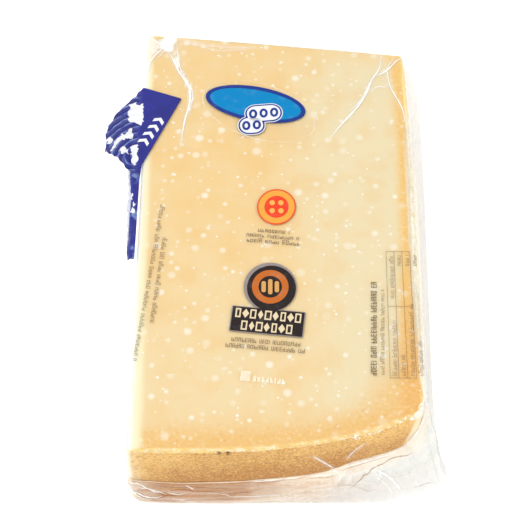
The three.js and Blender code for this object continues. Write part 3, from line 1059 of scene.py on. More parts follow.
# The stations where the front begins and where the left side does
WEB_CORNER = 11
WEB_LEFT = 27
WEB_ROWS = 26
WEB_STEP = 1.1
WEB_THICKNESS = 0.2
WEB_LIP = 1.6
WEB_GAP = 0.15
WEB_ROOT_GROW = 0.06
WEB_FRONT = -207.7
WEB_FLOOR_GAP = 0.25
MOST_COVER = 0.96
# Its folds: how far apart the narrow and the broad ones are, and how much each lifts the sheet
WEB_RIDGE = 9
WEB_BROAD = 23
WEB_LIFT = (0.3, 0.55, 0.5)

# Folds in the loose film: thickness, and places as (station, how far down). The white folds are painted
# highlights, the rosy and the grey ones painted shade
WHITE_FOLDS = [
    (0.24, [(27.35, 0.13), (26.76, 0.07), (26.33, 0.17), (25.99, 0.28), (25.73, 0.35)]),
    (0.3, [(27.95, 0.58), (27.01, 0.35), (26.67, 0.45), (26.24, 0.47), (25.9, 0.37)]),
    (0.16, [(26.76, 0.17), (26.5, 0.17), (26.16, 0.18), (25.9, 0.28)]),
    (0.18, [(28.12, 0.43), (27.18, 0.33), (26.93, 0.45), (26.67, 0.58)]),
    (0.2, [(25.65, 0.28), (25.22, 0.33), (24.97, 0.23)]),
    (0.18, [(25.48, 0.43), (25.22, 0.6), (24.97, 0.57)]),
    (0.14, [(24.97, 0.05), (24.88, 0.1), (24.8, 0.15)]),
    (0.12, [(24.71, 0.25), (24.29, 0.38), (23.86, 0.53), (21.73, 0.48)]),
    (0.2, [(23.6, 0.03), (22.75, 0.03), (21.64, 0.02)]),
    (0.22, [(18.83, 0.02), (18.06, 0.03), (17.3, 0.03), (16.53, 0.03), (15.76, 0.03), (14.91, 0.03),
            (14.32, 0.03)]),
    (0.12, [(18.66, 0.1), (18.15, 0.12), (17.3, 0.08)]),
    (0.46, [(16.19, 0.12), (16.1, 0.22), (15.76, 0.32), (15.51, 0.37), (15.17, 0.5), (14.83, 0.77),
            (14.66, 0.92)]),
    (0.26, [(19.43, 0), (19.26, 0.02), (18.92, 0.12), (19, 0.3)]),
    (0.18, [(20.71, 0.03), (20.28, 0.03), (19.85, 0.05), (19.26, 0.12)]),
    (0.2, [(21.9, 0.02), (21.22, 0.02), (20.96, 0.02)]),
    (0.3, [(12.27, 0.07), (12.44, 0.1)]),
    (0.12, [(14.4, 0.12), (12.61, 0.2)]),
    (0.18, [(10.48, 0.02), (11.33, 0.02), (12.19, 0.02), (13.21, 0.03)]),
    (0.34, [(25.12, 0.75), (24.96, 0.7), (24.86, 0.76)]),
    (0.14, [(16.36, 0.2), (16.2, 0.38), (15.7, 0.58), (15.35, 0.84)]),
    (0.12, [(13.9, 0.62), (13.6, 0.76), (13.8, 0.9)]),
]
# Painted shade, tinted by the rind
ROSY_FOLDS = [
    (0.16, [(26.84, 0.27), (26.33, 0.23), (25.9, 0.37), (25.65, 0.37)]),
    (0.18, [(26.93, 0.45), (26.5, 0.52), (26.16, 0.48), (25.73, 0.37)]),
    (0.2, [(25.48, 0.18), (25.05, 0.15), (24.8, 0.2), (24.63, 0.22), (24.37, 0.25)]),
    (0.14, [(24.8, 0.1), (24.54, 0.13), (24.2, 0.17)]),
    (0.14, [(25.73, 0.37), (25.39, 0.37), (25.05, 0.33)]),
    (0.16, [(26.59, 0.7), (25.9, 0.7), (25.22, 0.72)]),
    (0.16, [(18.49, 0.57), (17.47, 0.33), (16.87, 0.27), (16.53, 0.15), (15.85, 0.13), (15.17, 0.1),
            (14.4, 0.1), (13.04, 0.18)]),
    (0.1, [(18.83, 0.08), (18.06, 0.07), (16.53, 0.05), (14.91, 0.05)]),
    (0.12, [(20.71, 0.07), (20.28, 0.08), (19.51, 0.13), (19, 0.13)]),
    (0.07, [(13.97, 0.78), (13.38, 0.82), (12.36, 0.82)]),
    (0.07, [(19, 0.43), (18.15, 0.43), (17.3, 0.6), (16.36, 0.65)]),
    (0.1, [(23.6, 0.05), (22.4, 0.07), (21.6, 0.05)]),
    (0.1, [(24.5, 0.34), (23.9, 0.3), (23.1, 0.36)]),
    (0.08, [(26.1, 0.08), (25.2, 0.1), (24.6, 0.07)]),
]
# Painted shade: faint grey lines, mostly on the left flap
GREY_FOLDS = [
    (0.12, [(29.91, 0.72), (29.82, 0.48), (29.74, 0.3)]),
    (0.12, [(30.33, 0.45), (30.16, 0.6), (29.99, 0.73)]),
    (0.12, [(30.76, 0.88), (30.51, 0.67), (30.25, 0.53)]),
    (0.1, [(11.2, 0.15), (11.6, 0.5), (11.9, 0.9)]),
]
# The pale fold along the loose film's root, painted as a highlight
ROOT_STATIONS = (9.3, 10, 11, 12, 13, 17, 20, 23, 25.2, 26.4)
ROOT_FOLD = (0.22, [(station, 0.01) for station in ROOT_STATIONS] + [(27.6, 0.02)])
FOLD_LIFT = 0.15
FOLD_GAIN = 1.2
FOLD_STEP = 0.7
# About how long a station and how deep the sheet is, for even steps along a fold
STATION_LENGTH = 6
SHEET_DEPTH = 12


def web_root(place, grow):
    across, radius, share = place
    if radius is None:
        radius = rind_radius(across) + grow
    return wedge_points(across, radius, share, grow)


def rind_front(x, z, grow):
    """Where the rind's face is at each x and height, when it is grown by grow, and 1 where x is on it."""
    left, right = left_end(WHEEL_RADIUS), right_end(WHEEL_RADIUS)
    radius = rind_radius((x - left) / (right - left)) + grow
    base, rise = FILM_CLEARANCE - grow, TIP_THICKNESS - FILM_CLEARANCE + grow
    share = 0.5
    for _ in range(4):
        share = np.arcsin(np.clip((z - base - rise * share) / radius, 0, 0.5)) / WEDGE_ANGLE
    lean = RIND_LEAN * (1 - share) * radius / WHEEL_RADIUS
    over = smooth_between(x, left - 0.8, left + 0.4) * (1 - smooth_between(x, right - 2.5, right - 0.5))
    return -(radius - lean) * np.cos(share * WEDGE_ANGLE), over


def web_grid(root, out, push, down):
    """Rows of points down from the root to the outer edge, bent outwards by push halfway."""
    way = (out - root) * np.array([1, 1, 0])
    way /= np.maximum(np.linalg.norm(way, axis=1, keepdims=True), 0.5)
    bend = (root + out) / 2 + way * push[:, None]
    return (root[:, None] * ((1 - down) ** 2)[None, :, None]
            + bend[:, None] * (2 * down * (1 - down))[None, :, None]
            + out[:, None] * (down**2)[None, :, None])


def web_waves(place, share, width, along):
    """Sharp ridges and broad waves, which run down the sheet, or along its edge where along is 1."""
    slant = np.stack([place * (1 - 0.78 * along) + 9 * share * (1 - along),
                      share * width * (0.3 + 0.75 * along), np.zeros_like(share)], 1)
    return 1 - 2 * np.abs(wavy(slant, WEB_RIDGE, 11, 2)), wavy(slant, WEB_BROAD, 12)


def clear_of_rind(points, share, in_front, at_left):
    """Brings the sheet forward where it would cut into the rind, but no further than the front."""
    face, over = rind_front(points[:, 0], points[:, 2], FILM_GROW + WEB_GAP)
    sunk = np.maximum(points[:, 1] - face, 0) * over * in_front * (1 - at_left)
    points[:, 1] -= sunk * smooth_between(share, 0, 0.03)
    points[:, 1] = np.maximum(points[:, 1], WEB_FRONT)


def make_web():
    """The loose film that stands out from the wedge, with folds that run down to its edge."""
    roots = np.array([web_root(s[0], FILM_GROW if k < WEB_CORNER else WEB_ROOT_GROW)
                      for k, s in enumerate(WEB_STATIONS)])
    lips = np.array([web_root(s[0], -WEB_LIP) for s in WEB_STATIONS])
    edges = np.array([s[1] for s in WEB_STATIONS], float)
    traits = np.array([s[2:] for s in WEB_STATIONS], float)
    gaps = np.maximum(np.linalg.norm(np.diff(edges, axis=0), axis=1), 2)
    counts = np.ceil(gaps / WEB_STEP).astype(int)
    root, out = spline(roots, counts), spline(edges, counts)
    spots = np.concatenate([[0], np.cumsum(counts)])
    index = np.arange(len(out))
    push, *traits = (np.interp(index, spots, t) for t in traits.T)
    place = np.concatenate([[0], np.cumsum(np.linalg.norm(np.diff(out, axis=0), axis=1))])
    width = np.linalg.norm(out - root, axis=1)
    down = np.linspace(0, 1, WEB_ROWS + 1)
    grid = web_grid(root, out, push, down)
    piece = new_mesh("film_web", grid.reshape(-1, 3), sheet_quads(len(out) - 1, WEB_ROWS))
    rows = WEB_ROWS + 1
    share = np.tile(down, len(out))
    values = (np.repeat(value, rows) for value in (index, place, width, *traits))
    index, place, width, along, depth, milk = values
    ridge, broad = web_waves(place, share, width, along)
    room = smooth_between(share, 0, 0.16) * (1 - 0.85 * smooth_between(share, 0.86, 1))
    lift = room * depth * (WEB_LIFT[0] + WEB_LIFT[1] * ridge + WEB_LIFT[2] * broad)
    moved = get_points(piece) + get_normals(piece) * lift[:, None]
    moved[:, 2] = np.maximum(moved[:, 2], WEB_FLOOR_GAP)
    in_front = smooth_between(index, spots[WEB_CORNER - 1], spots[WEB_CORNER + 1])
    at_left = smooth_between(index, spots[WEB_LEFT], spots[WEB_LEFT + 1])
    clear_of_rind(moved, share, in_front, at_left)
    move_points(piece, moved)
    sharp = smooth_between(ridge, 0.72, 0.96)
    fade = np.maximum(smooth_between(share, 0, 0.05), in_front)
    fade = fade * (1 - 0.85 * smooth_between(share, 0.95, 1))
    veil = in_front * smooth_between(moved[:, 0], -4, 24) * (1 - smooth_between(share, 0.3, 0.55))
    # A painted highlight on the sharp crests of the folds
    set_values(piece, "glare", np.clip(sharp * room * 0.5, 0, 1))
    set_values(piece, "milk", milk + (0.8 - milk) * veil)
    set_values(piece, "veil", veil)
    set_values(piece, "fade", fade)
    set_values(piece, "down", share)
    tuck_in(piece, spline(lips, counts), rows)
    thicken(piece, WEB_THICKNESS)
    return piece, WebMap(moved.reshape(len(out), rows, 3), spots)


def tuck_in(piece, lips, rows):
    """Carries the sheet on from its upper edge into the wedge, so that no gap is left there."""
    work = bmesh.new()
    work.from_mesh(piece.data)
    work.verts.ensure_lookup_table()
    upper = [work.verts[i * rows] for i in range(len(lips))]
    lower = []
    for edge, place in zip(upper, to_row(lips)):
        vertex = work.verts.new(place)
        for layer in work.verts.layers.float.values():
            vertex[layer] = edge[layer]
        lower.append(vertex)
    for i in range(len(lips) - 1):
        work.faces.new((upper[i], lower[i], lower[i + 1], upper[i + 1])).smooth = True
    bmesh.ops.recalc_face_normals(work, faces=work.faces)
    work.to_mesh(piece.data)
    work.free()


class WebMap:
    """Finds places on the loose film from a station, counted along its edge, and how far down it is."""

    def __init__(self, grid, spots):
        self.grid = grid
        self.spots = spots

    def at(self, station, down, lift=0.0):
        along = np.interp(station, np.arange(len(self.spots)), self.spots)
        i = int(min(along, len(self.grid) - 1.001))
        j = int(min(down * WEB_ROWS, WEB_ROWS - 0.001))
        s, t = along - i, down * WEB_ROWS - j
        corners = self.grid[i : i + 2, j : j + 2]
        spot = (1 - s) * ((1 - t) * corners[0, 0] + t * corners[0, 1])
        spot = spot + s * ((1 - t) * corners[1, 0] + t * corners[1, 1])
        out = np.cross(corners[1, 0] - corners[0, 0], corners[0, 1] - corners[0, 0])
        return spot + lift * out / max(np.linalg.norm(out), 1e-9)

    def line(self, places, lift=FOLD_LIFT):
        flat = even_spline([(s * STATION_LENGTH, d * SHEET_DEPTH, 0) for s, d in places], FOLD_STEP)
        spots = zip(flat[:, 0] / STATION_LENGTH, np.clip(flat[:, 1] / SHEET_DEPTH, 0, 1))
        return np.array([self.at(station, down, lift) for station, down in spots])

    def lines(self, folds):
        return [(size * FOLD_GAIN, self.line(places)) for size, places in folds]


def glossy_film(finish, tint, milk, mirror, **values):
    """A film that is milky by milk, mirrors its surroundings by mirror and is clear otherwise."""
    shader = finish.surface(Base_Color=tint, Metallic=mirror / (milk + mirror), **values)
    return finish.done(finish.clear((milk + mirror).least(MOST_COVER), shader))


def film_finish(name, veil, gloss, dull):
    """Clear glossy film. veil is how milky it is, and its glare value paints a white highlight on a fold.
    """
    finish = Finish(name)
    place = finish.place()
    x = finish.split(place)[0]
    tint = finish.blend(x.rise(0.0555, 0.0572), FILM_WHITE, FILM_EDGE_CREAM)
    glare = finish.value("glare")
    mirror = finish.mirror() * gloss
    streaks = finish.cloud(place, 0.005, 3, 0.55)
    ripple = finish.cloud(place, 0.0018, 2)
    broken = 0.6 + 0.8 * finish.cloud(place, 0.0022, 3, 0.6)
    # The painted highlight makes the film white and less clear
    milk = veil + glare * broken + streaks.rise(0.52, 0.8) * dull
    return glossy_film(
        finish, tint, milk, mirror,
        Roughness=0.14 + glare * 0.2,
        Normal=finish.bump(streaks + ripple * 0.4, 0.0004, 0.3),
        Specular_IOR_Level=0.5,
    )


def web_finish():
    """Loose film: milky, with a rosy tinge by the rind. Its right side is painted grey as shade, and in
    front it has painted highlights and painted shade in streaks.
    """
    finish = Finish("film_loose")
    place = finish.place()
    glare, milk, down = finish.value("glare"), finish.value("milk"), finish.value("down")
    fade = finish.value("fade")
    x, y, _ = finish.split(place)
    # The right side of the loose film, painted darker grey as shade
    side = x.rise(0.03, 0.05) * y.rise(-0.08, -0.06)
    mirror = finish.mirror() * (0.12 + side * 0.36) * fade * down.rise(0.0, 0.12)
    broad = finish.cloud(place, 0.009, 3, 0.55)
    streaks = finish.cloud(finish.stretched(place, 0.22, 1, 1), 0.0022, 3, 0.6)
    front = y.fall(-0.08, -0.06)
    tan = front * (x + (broad - 0.5) * 0.02 + down * 0.02).fall(-0.012, 0.016) * x.rise(-0.064, -0.042)
    peach = front * (x + (broad - 0.5) * 0.03).fall(0.01, 0.045) * (1 - down * 0.4)
    edge = x.rise(0.045, 0.055) * y.rise(-0.08, -0.06) * y.fall(0.02, 0.06) * down.fall(0.06, 0.2)
    cream = front * down.fall(0.04, 0.26) * x.fall(0.058, 0.066) * (1 - tan * 0.9)
    tint = finish.coats(
        FILM_GREY,
        (finish.value("veil"), FILM_VEIL),
        (side, FILM_STRIP),
        (edge, FILM_CREAM),
        (peach, SKIRT_PEACH),
        (tan, SKIRT_TAN),
        (cream * 0.6, ROOT_CREAM),
        # Painted highlights in streaks
        (front * peach * streaks.rise(0.52, 0.7) * (0.7 - tan * 0.5), FILM_WHITE),
        # Painted shade in streaks, tinted by the rind
        (front * peach * streaks.fall(0.32, 0.46) * 0.4, ROSY_FOLD),
    )
    # The painted highlight on the crests makes the sheet a little whiter
    milk = (milk + edge * 0.35) * fade * (1 + (broad - 0.5) * 0.5) + glare * fade * 0.08 + 0.004
    return glossy_film(
        finish, tint, milk, mirror,
        Roughness=0.16 + broad * 0.1,
        Normal=finish.bump(broad, 0.0004, 0.15),
        Specular_IOR_Level=0.3,
    )


def crease_finish(name, tint, low, high):
    """A fold in the film, whose cover goes from low to high in patches along it. Its tint is painted
    light: a white or pale tint paints a highlight, a darker one paints shade.
    """
    finish = Finish(name)
    broken = finish.cloud(finish.place(), 0.004, 3)
    shader = finish.surface(Base_Color=tint, Roughness=0.25 + broken * 0.15, Specular_IOR_Level=0.5)
    return finish.done(finish.clear(low + broken.rise(0.35, 0.65) * (high - low), shader))


# ---- Grains of crystal and crumbs on the cheese ----

# For each kind: how many there are on a square metre, the smallest and the largest, and a seed
CRYSTALS = (4800, 0.22, 0.5, 5)
EDGE_CRUMBS = (900000, 0.12, 0.34, 6)
CORNER_CRUMBS = (1500000, 0.2, 0.62, 7)
# How deep and how high a grain is, as shares of its length
GRAIN_DEPTH = 0.8
GRAIN_HEIGHT = 0.45


def scatter_on(cheese, name, mask, material, kind):
    """Flattened grains of one kind where mask is high."""
    density, smallest, largest, seed = kind
    piece = add_object(name, cheese.data.copy())
    set_values(piece, "mask", mask)
    growth = Growth("grains", Density="Float", Smallest="Float", Largest="Float", Seed="Int")
    given = growth.given
    thick = growth.stored("mask") * given["Density"]
    values = {"Mesh": given["Geometry"], "Density": thick, "Seed": given["Seed"]}
    points = growth.node("GeometryNodeDistributePointsOnFaces", None, values, "Points")
    grain = growth.node("GeometryNodeMeshIcoSphere", None, {"Radius": 1.0, "Subdivisions": 2})
    values = {2: given["Smallest"], 3: given["Largest"], "Seed": given["Seed"]}
    size = growth.node("FunctionNodeRandomValue", {"data_type": "FLOAT"}, values, 1)
    values = {"X": size, "Y": size * GRAIN_DEPTH, "Z": size * GRAIN_HEIGHT}
    flat = growth.node("ShaderNodeCombineXYZ", None, values)
    turn = points.other("Rotation")
    values = {"Points": points, "Rotation": turn, "Instance": grain, "Scale": flat}
    grains = growth.node("GeometryNodeInstanceOnPoints", None, values)
    piece = growth.grow(piece, grains, Density=float(density), Smallest=smallest * MM,
                        Largest=largest * MM, Seed=seed, Finish=material)
    dress(piece, material, "cheese")


def crystal_finish():
    finish = Finish("crystal")
    tone = finish.cloud(finish.place(), 0.003, 2)
    skin = finish.blend(tone, CRYSTAL_WHITE, GRAIN_PALE)
    return finish.done(finish.surface(Base_Color=skin, Roughness=0.35 + tone * 0.2))


def crumb_finish():
    finish = Finish("crumb")
    tone = finish.cloud(finish.place(), 0.0015, 2)
    skin = finish.blend(tone.rise(0.35, 0.65), CRUMB, EDGE_YELLOW)
    return finish.done(finish.surface(Base_Color=skin, Roughness=0.5 + tone * 0.2))


def make_grains(cheese):
    """Crystals all over, small crumbs along the slope's edges and bigger ones at its worn corner."""
    points = get_points(cheese)
    names = ("across", "radius", "share", "from_front", "from_side")
    across, radius, share, from_front, from_side = (get_values(cheese, name) for name in names)
    depth = np.minimum(from_front, from_side)
    patches = smooth_between(wavy(points, 30, 21), -0.3, 0.45)
    inner = 0.06 + smooth_between(depth, 3, 26) * (0.25 + 0.75 * patches)
    white = crystal_finish()
    scatter_on(cheese, "crystal_grains", inner, white, CRYSTALS)
    rim = (1 - smooth_between(depth, 0.3, 2.4)) * smooth_between(share, 0.93, 0.98)
    rim = rim * smooth_between(wavy(points, 9, 22, 2), -0.35, 0.5)
    scatter_on(cheese, "edge_crumbs", rim, crumb_finish(), EDGE_CRUMBS)
    corner = 2 * worn_corner(from_front, from_side)
    front = 0.35 * smooth_between(across, 0.66, 0.9) * (1 - smooth_between(from_front, 0.6, 2))
    side = 0.4 * (1 - smooth_between(from_side, 0.8, 2.6)) * smooth_between(radius, 150, 172)
    lump = np.maximum(np.maximum(corner, side), front) * smooth_between(share, 0.95, 0.985)
    lump = lump * smooth_between(wavy(points, 4, 23, 2), -0.4, 0.15)
    scatter_on(cheese, "corner_crumbs", lump, white, CORNER_CRUMBS)


# ---- Flat shapes on the sloping face ----


def turned(points, angle, middle):
    """Flat points turned about the origin and moved to middle, an (x, radius). Up is towards the tip."""
    points = np.asarray(points, float)
    u = points[:, 0] * math.cos(angle) - points[:, 1] * math.sin(angle)
    v = points[:, 0] * math.sin(angle) + points[:, 1] * math.cos(angle)
    return np.stack([middle[0] + u, middle[1] - v], 1)


def box(left, low, right, high):
    return [(left, low), (right, low), (right, high), (left, high)]


def round_box(width, height, corner, steps=6):
    """The outline of a box with round corners, anticlockwise."""
    points = []
    for quarter, (sx, sy) in enumerate(((1, 1), (-1, 1), (-1, -1), (1, -1))):
        for k in range(steps + 1):
            angle = (quarter + k / steps) * math.pi / 2
            points.append((sx * (width / 2 - corner) + corner * math.cos(angle),
                           sy * (height / 2 - corner) + corner * math.sin(angle)))
    return points


def ellipse(width, height, steps=72):
    angles = np.linspace(0, 2 * math.pi, steps, endpoint=False)
    return np.stack([width / 2 * np.cos(angles), height / 2 * np.sin(angles)], 1)


# How tall a sign's left and right posts are, and if it has a bar at the top, the middle and the foot
SIGNS = [(1, 1, 1, 0, 1), (1, 1, 1, 0, 0), (1, 1, 0, 0, 1), (1, 0, 1, 1, 1), (1, 0, 0, 0, 0),
         (1, 0.5, 0, 1, 1), (1, 1, 1, 1, 0), (0.6, 1, 0, 1, 1)]
# How many signs are in a group, which share of them is tall, and their width and gap for a height of 1
SIGNS_IN_GROUP = (3, 10)
TALL_SIGNS = 0.25
SIGN_WIDTHS = (0.44, 0.58)
SIGN_GAP = 0.2


class Plates:
    """Thin flat shapes on the sloping face, gathered into one piece."""

    def __init__(self, name, paint, lift=PRINT_LIFT, cover=1.0):
        self.name = name
        self.paint = paint
        self.lift = lift
        self.cover = cover
        self.points = []
        self.faces = []

    def add_loops(self, *loops):
        for flat in loops:
            for lift in (self.lift, self.lift + PRINT_THICKNESS):
                self.points.extend(on_slope(flat[:, 0], flat[:, 1], lift))

    def add(self, outline, middle=(0, 0), angle=0.0):
        """A filled shape. Its outline is convex and anticlockwise."""
        flat = turned(outline, angle, middle)
        count, start = len(flat), len(self.points)
        self.add_loops(flat)
        self.faces.append(range(start + count, start + 2 * count))
        self.faces.append(range(start + count - 1, start - 1, -1))
        for i in range(count):
            j = (i + 1) % count
            self.faces.append((start + i, start + j, start + count + j, start + count + i))
        return self

    def ring(self, outer, inner, middle=(0, 0), angle=0.0):
        """A band between two outlines with the same number of points."""
        loops = [turned(outer, angle, middle), turned(inner, angle, middle)]
        count, start = len(loops[0]), len(self.points)
        self.add_loops(*loops)
        for i in range(count):
            j = (i + 1) % count
            for a, b in ((0, 1), (1, 3), (3, 2), (2, 0)):
                self.faces.append((start + a * count + i, start + a * count + j,
                                   start + b * count + j, start + b * count + i))
        return self

    def line(self, start, end, width):
        """A straight stroke between two places given as (x, radius)."""
        way = np.array([end[0] - start[0], start[1] - end[1]], float)
        length = float(np.linalg.norm(way))
        self.add(box(0, -width / 2, length, width / 2), start, math.atan2(way[1], way[0]))

    def mark(self, left, width, low, tall, stroke, kind, start, angle):
        """One small sign of up to two posts and three bars. Kind says which of them it has."""
        right = left + width
        posts = ((left, left + stroke), (right - stroke, right))
        bars = (low + tall - stroke, low + (tall - stroke) / 2, low)
        for drawn, (here, there) in zip(kind[:2], posts):
            if drawn:
                self.add(box(here, low, there, low + tall * drawn), start, angle)
        for drawn, bar in zip(kind[2:], bars):
            if drawn:
                self.add(box(left + stroke, bar, right - stroke * kind[1], bar + stroke), start, angle)

    def words(self, draw, start, angle, length, height, weight=0.1, small=0.7, gap=0.5):
        """A line of small signs in groups, in place of lettering. The angle is in degrees."""
        angle = math.radians(angle)
        stroke = weight * height
        spot = 0.0
        while spot < length:
            for _ in range(int(draw.integers(*SIGNS_IN_GROUP))):
                kind = SIGNS[int(draw.integers(0, len(SIGNS)))]
                tall = height * (1 if draw.uniform() < TALL_SIGNS else small)
                wide = height * draw.uniform(*SIGN_WIDTHS) if any(kind[1:]) else stroke
                if spot + wide > length:
                    return
                self.mark(spot, wide, -height / 2, tall, stroke, kind, start, angle)
                spot += wide + height * SIGN_GAP
            spot += height * gap

    def make(self):
        piece = new_mesh(self.name, self.points, self.faces, smooth=False)
        finish = Finish(self.name + "_ink")
        worn = finish.cloud(finish.place(), 0.004, 2)
        skin = finish.blend(worn.rise(0.5, 0.9) * 0.05, self.paint, FILM_WHITE)
        shader = finish.surface(Base_Color=skin, Roughness=0.32 + worn * 0.1, Specular_IOR_Level=0.12)
        if self.cover < 1:
            shader = finish.clear(self.cover - worn.rise(0.4, 0.9) * 0.15, shader)
        dress(piece, finish.done(shader), "print")


LEVEL = math.radians(-6)
OVAL = ((-8, 38.4), math.radians(-12.9))
TAGS = (((-4.4, 43.7), 3), ((-9.6, 50.4), 2))
TAG_TILT = math.radians(6)
TAG_RING_SPACING = 4.6
TAG_ENDS = 1.6
SIGN_SPACING = 3.05
SEAL = (1.3, 93.5)
BADGE = (-1.2, 133.7)
PLATE_MIDDLE = (-2.3, 150.4)
# Rows of signs on the plate: how far up each is, and how many signs it has
PLATE_ROWS = ((2.85, 9), (-2.85, 7))
# The ruled table: its uprights' x at the top and at the foot, and where its level lines are
TABLE_TOP, TABLE_FOOT = 115.8, 176.4
TABLE_UPRIGHTS = [(46.7 + 3.25 * k, 46.5 + 3.5 * k) for k in range(4)]
TABLE_LEVELS = (0, 0.445, 1)
TABLE_RULE = 0.2
TABLE_SIGNS_TURN = 88.8
# The length of the signs between its uprights, in its lower and its upper part
TABLE_COLUMNS = ((26, 22), (10, 6), (34, 6), (16, 6))

# Lines of small signs: start as (x, radius), angle, length, height, and then what else words() takes
CAPTIONS = [
    ((-6.3, 105.2), -5.2, 13.6, 2.1),
    ((-11.2, 107.5), -5.2, 23.4, 2.1),
    ((-11, 110.2), -5.2, 22.4, 2.1),
    ((-16.7, 158.7), -5.2, 28.4, 1.9, 0.11, 1.0),
    ((-19, 161.4), -5.2, 32.8, 1.9, 0.11, 1.0),
]
FAINT_SIGNS = [((-7.9, 177.2), -6, 13.2, 2.4, 0.26, 1.0, 0.1)]
TABLE_SIGNS = [
    line
    for k, (low, high) in enumerate(TABLE_COLUMNS)
    for line in (((48.3 + 3.5 * k, TABLE_FOOT - 1), TABLE_SIGNS_TURN, low, 1.9, 0.08),
                 ((48.4 + 3.25 * k, TABLE_TOP + high + 1), TABLE_SIGNS_TURN, high, 1.9, 0.08))
]
TITLE = [((40, 175.2), 88.4, 44.4, 2.3, 0.12, 1.0)]
NOTES = [
    ((43.4, 175), 88.3, 41.4, 1.7, 0.09),
    ((-46.6, 92.8), -96.2, 77, 2, 0.1),
    ((-45.1, 109.6), -95.1, 43, 2, 0.11),
]


def print_oval():
    """On the sticker, a blue oval with a darker rim and two overlapping white tags with rings in them."""
    lift = STICKER_LIFT + STICKER_THICKNESS + 0.03
    rim = Plates("print_oval_rim", NIGHT_BLUE, lift)
    rim.ring(ellipse(44.6, 19.1), ellipse(40.8, 15.4), *OVAL).make()
    Plates("print_oval", SKY_BLUE, lift).add(ellipse(40.7, 15.3), *OVAL).make()
    pale = Plates("print_tag_edge", TAB_WHITE, lift + PRINT_STEP)
    rim = Plates("print_tag_rim", NIGHT_BLUE, lift + 2 * PRINT_STEP)
    tag = Plates("print_tag", TAB_WHITE, lift + 3 * PRINT_STEP)
    dots = Plates("print_tag_dots", NIGHT_BLUE, lift + 4 * PRINT_STEP)
    for middle, count in TAGS:
        wide = TAG_RING_SPACING * count + TAG_ENDS
        pale.add(round_box(wide + 1.4, 10.4, 5), middle, TAG_TILT)
        rim.add(round_box(wide + 0.6, 9.6, 4.6), middle, TAG_TILT)
        tag.add(round_box(wide - 0.8, 8.2, 3.9), middle, TAG_TILT)
        for k in range(count):
            spot = turned([((k - (count - 1) / 2) * TAG_RING_SPACING, 0)], TAG_TILT, middle)[0]
            dots.ring(ellipse(3.6, 5, 32), ellipse(1.5, 2.6, 32), spot)
    for plates in (pale, rim, tag, dots):
        plates.make()


def print_seal():
    """A round orange seal with four dots."""
    rim = Plates("print_seal_rim", SEAL_EDGE)
    rim.ring(ellipse(16.4, 18.4), ellipse(15.2, 17), SEAL, LEVEL).make()
    band = Plates("print_seal_ring", SEAL_ORANGE)
    band.ring(ellipse(15.1, 16.9), ellipse(10.2, 11.4), SEAL, LEVEL).make()
    Plates("print_seal", SEAL_RED).add(ellipse(10.1, 11.3), SEAL, LEVEL).make()
    dots = Plates("print_seal_dots", SEAL_DOT, PRINT_LIFT + PRINT_STEP)
    for k in range(4):
        arm = turned([(2.6, 0)], math.pi / 4 + k * math.pi / 2, (0, 0))[0]
        dots.add(ellipse(2.3, 2.6, 24), (SEAL[0] + arm[0], SEAL[1] + arm[1] * 1.12))
    dots.make()


def print_badge():
    """A dark round badge over a dark plate with two rows of cream frames and diamonds."""
    edge = Plates("print_badge_rim", BADGE_GREY).add(ellipse(21.7, 23.8), BADGE)
    edge.add(round_box(30, 12.3, 0.4), PLATE_MIDDLE, LEVEL).make()
    dark = Plates("print_badge", BADGE_INK, PRINT_LIFT + PRINT_STEP)
    dark.add(ellipse(20, 22), (BADGE[0] + 0.5, BADGE[1] + 0.6)).make()
    plate = Plates("print_plate", BADGE_INK, PRINT_LIFT + 1.2 * PRINT_STEP)
    plate.add(round_box(29.2, 11.5, 0.3), PLATE_MIDDLE, LEVEL).make()
    brown = Plates("print_badge_marks", BADGE_BROWN, PRINT_LIFT + 2 * PRINT_STEP)
    brown.ring(ellipse(15, 16.4), ellipse(9.6, 10.6), BADGE).make()
    gold = Plates("print_badge_core", BADGE_GOLD, PRINT_LIFT + 2 * PRINT_STEP)
    for k in range(3):
        gold.add(round_box(1.8, 7.4 - 2 * abs(k - 1), 0.8), (BADGE[0] + 2.7 * (k - 1), BADGE[1]))
    gold.make()
    cream = Plates("print_plate_signs", BADGE_CREAM, PRINT_LIFT + 2.4 * PRINT_STEP)
    for row, count in PLATE_ROWS:
        for k in range(count):
            middle = turned([((k - (count - 1) / 2) * SIGN_SPACING, row)], LEVEL, PLATE_MIDDLE)[0]
            wide = 1.1 + 0.15 * ((k * 5 + count) % 3)
            if k % 2:
                cream.add([(-wide, 0), (0, -2.2), (wide, 0), (0, 2.2)], middle, LEVEL)
            else:
                hole = box(0.6 - wide, -1.5, wide - 0.6, 1.5)
                cream.ring(box(-wide, -2.2, wide, 2.2), hole, middle, LEVEL)
    cream.make()


def print_lines(draw):
    """Lines of small signs, a faint box and a ruled table."""
    captions = Plates("print_captions", TEXT_INK, cover=0.8)
    faint = Plates("print_faint", FAINT_WHITE, cover=0.3)
    faint.add(round_box(3.9, 4.6, 0.3), (-10.9, 175.9), LEVEL)
    table = Plates("print_table", TEXT_INK, cover=0.46)
    for top, foot in TABLE_UPRIGHTS:
        table.line((top, TABLE_TOP), (foot, TABLE_FOOT), TABLE_RULE)
    for share in TABLE_LEVELS:
        radius = TABLE_TOP + share * (TABLE_FOOT - TABLE_TOP)
        ends = [(top + share * (foot - top), radius) for top, foot in TABLE_UPRIGHTS]
        table.line(ends[0], ends[-1], TABLE_RULE)
    title = Plates("print_title", TITLE_INK, cover=0.85)
    notes = Plates("print_notes", TEXT_INK, cover=0.52)
    for plates, lines in ((captions, CAPTIONS), (faint, FAINT_SIGNS), (table, TABLE_SIGNS),
                          (title, TITLE), (notes, NOTES)):
        for line in lines:
            plates.words(draw, *line)
        plates.make()


# ---- The sticker ----


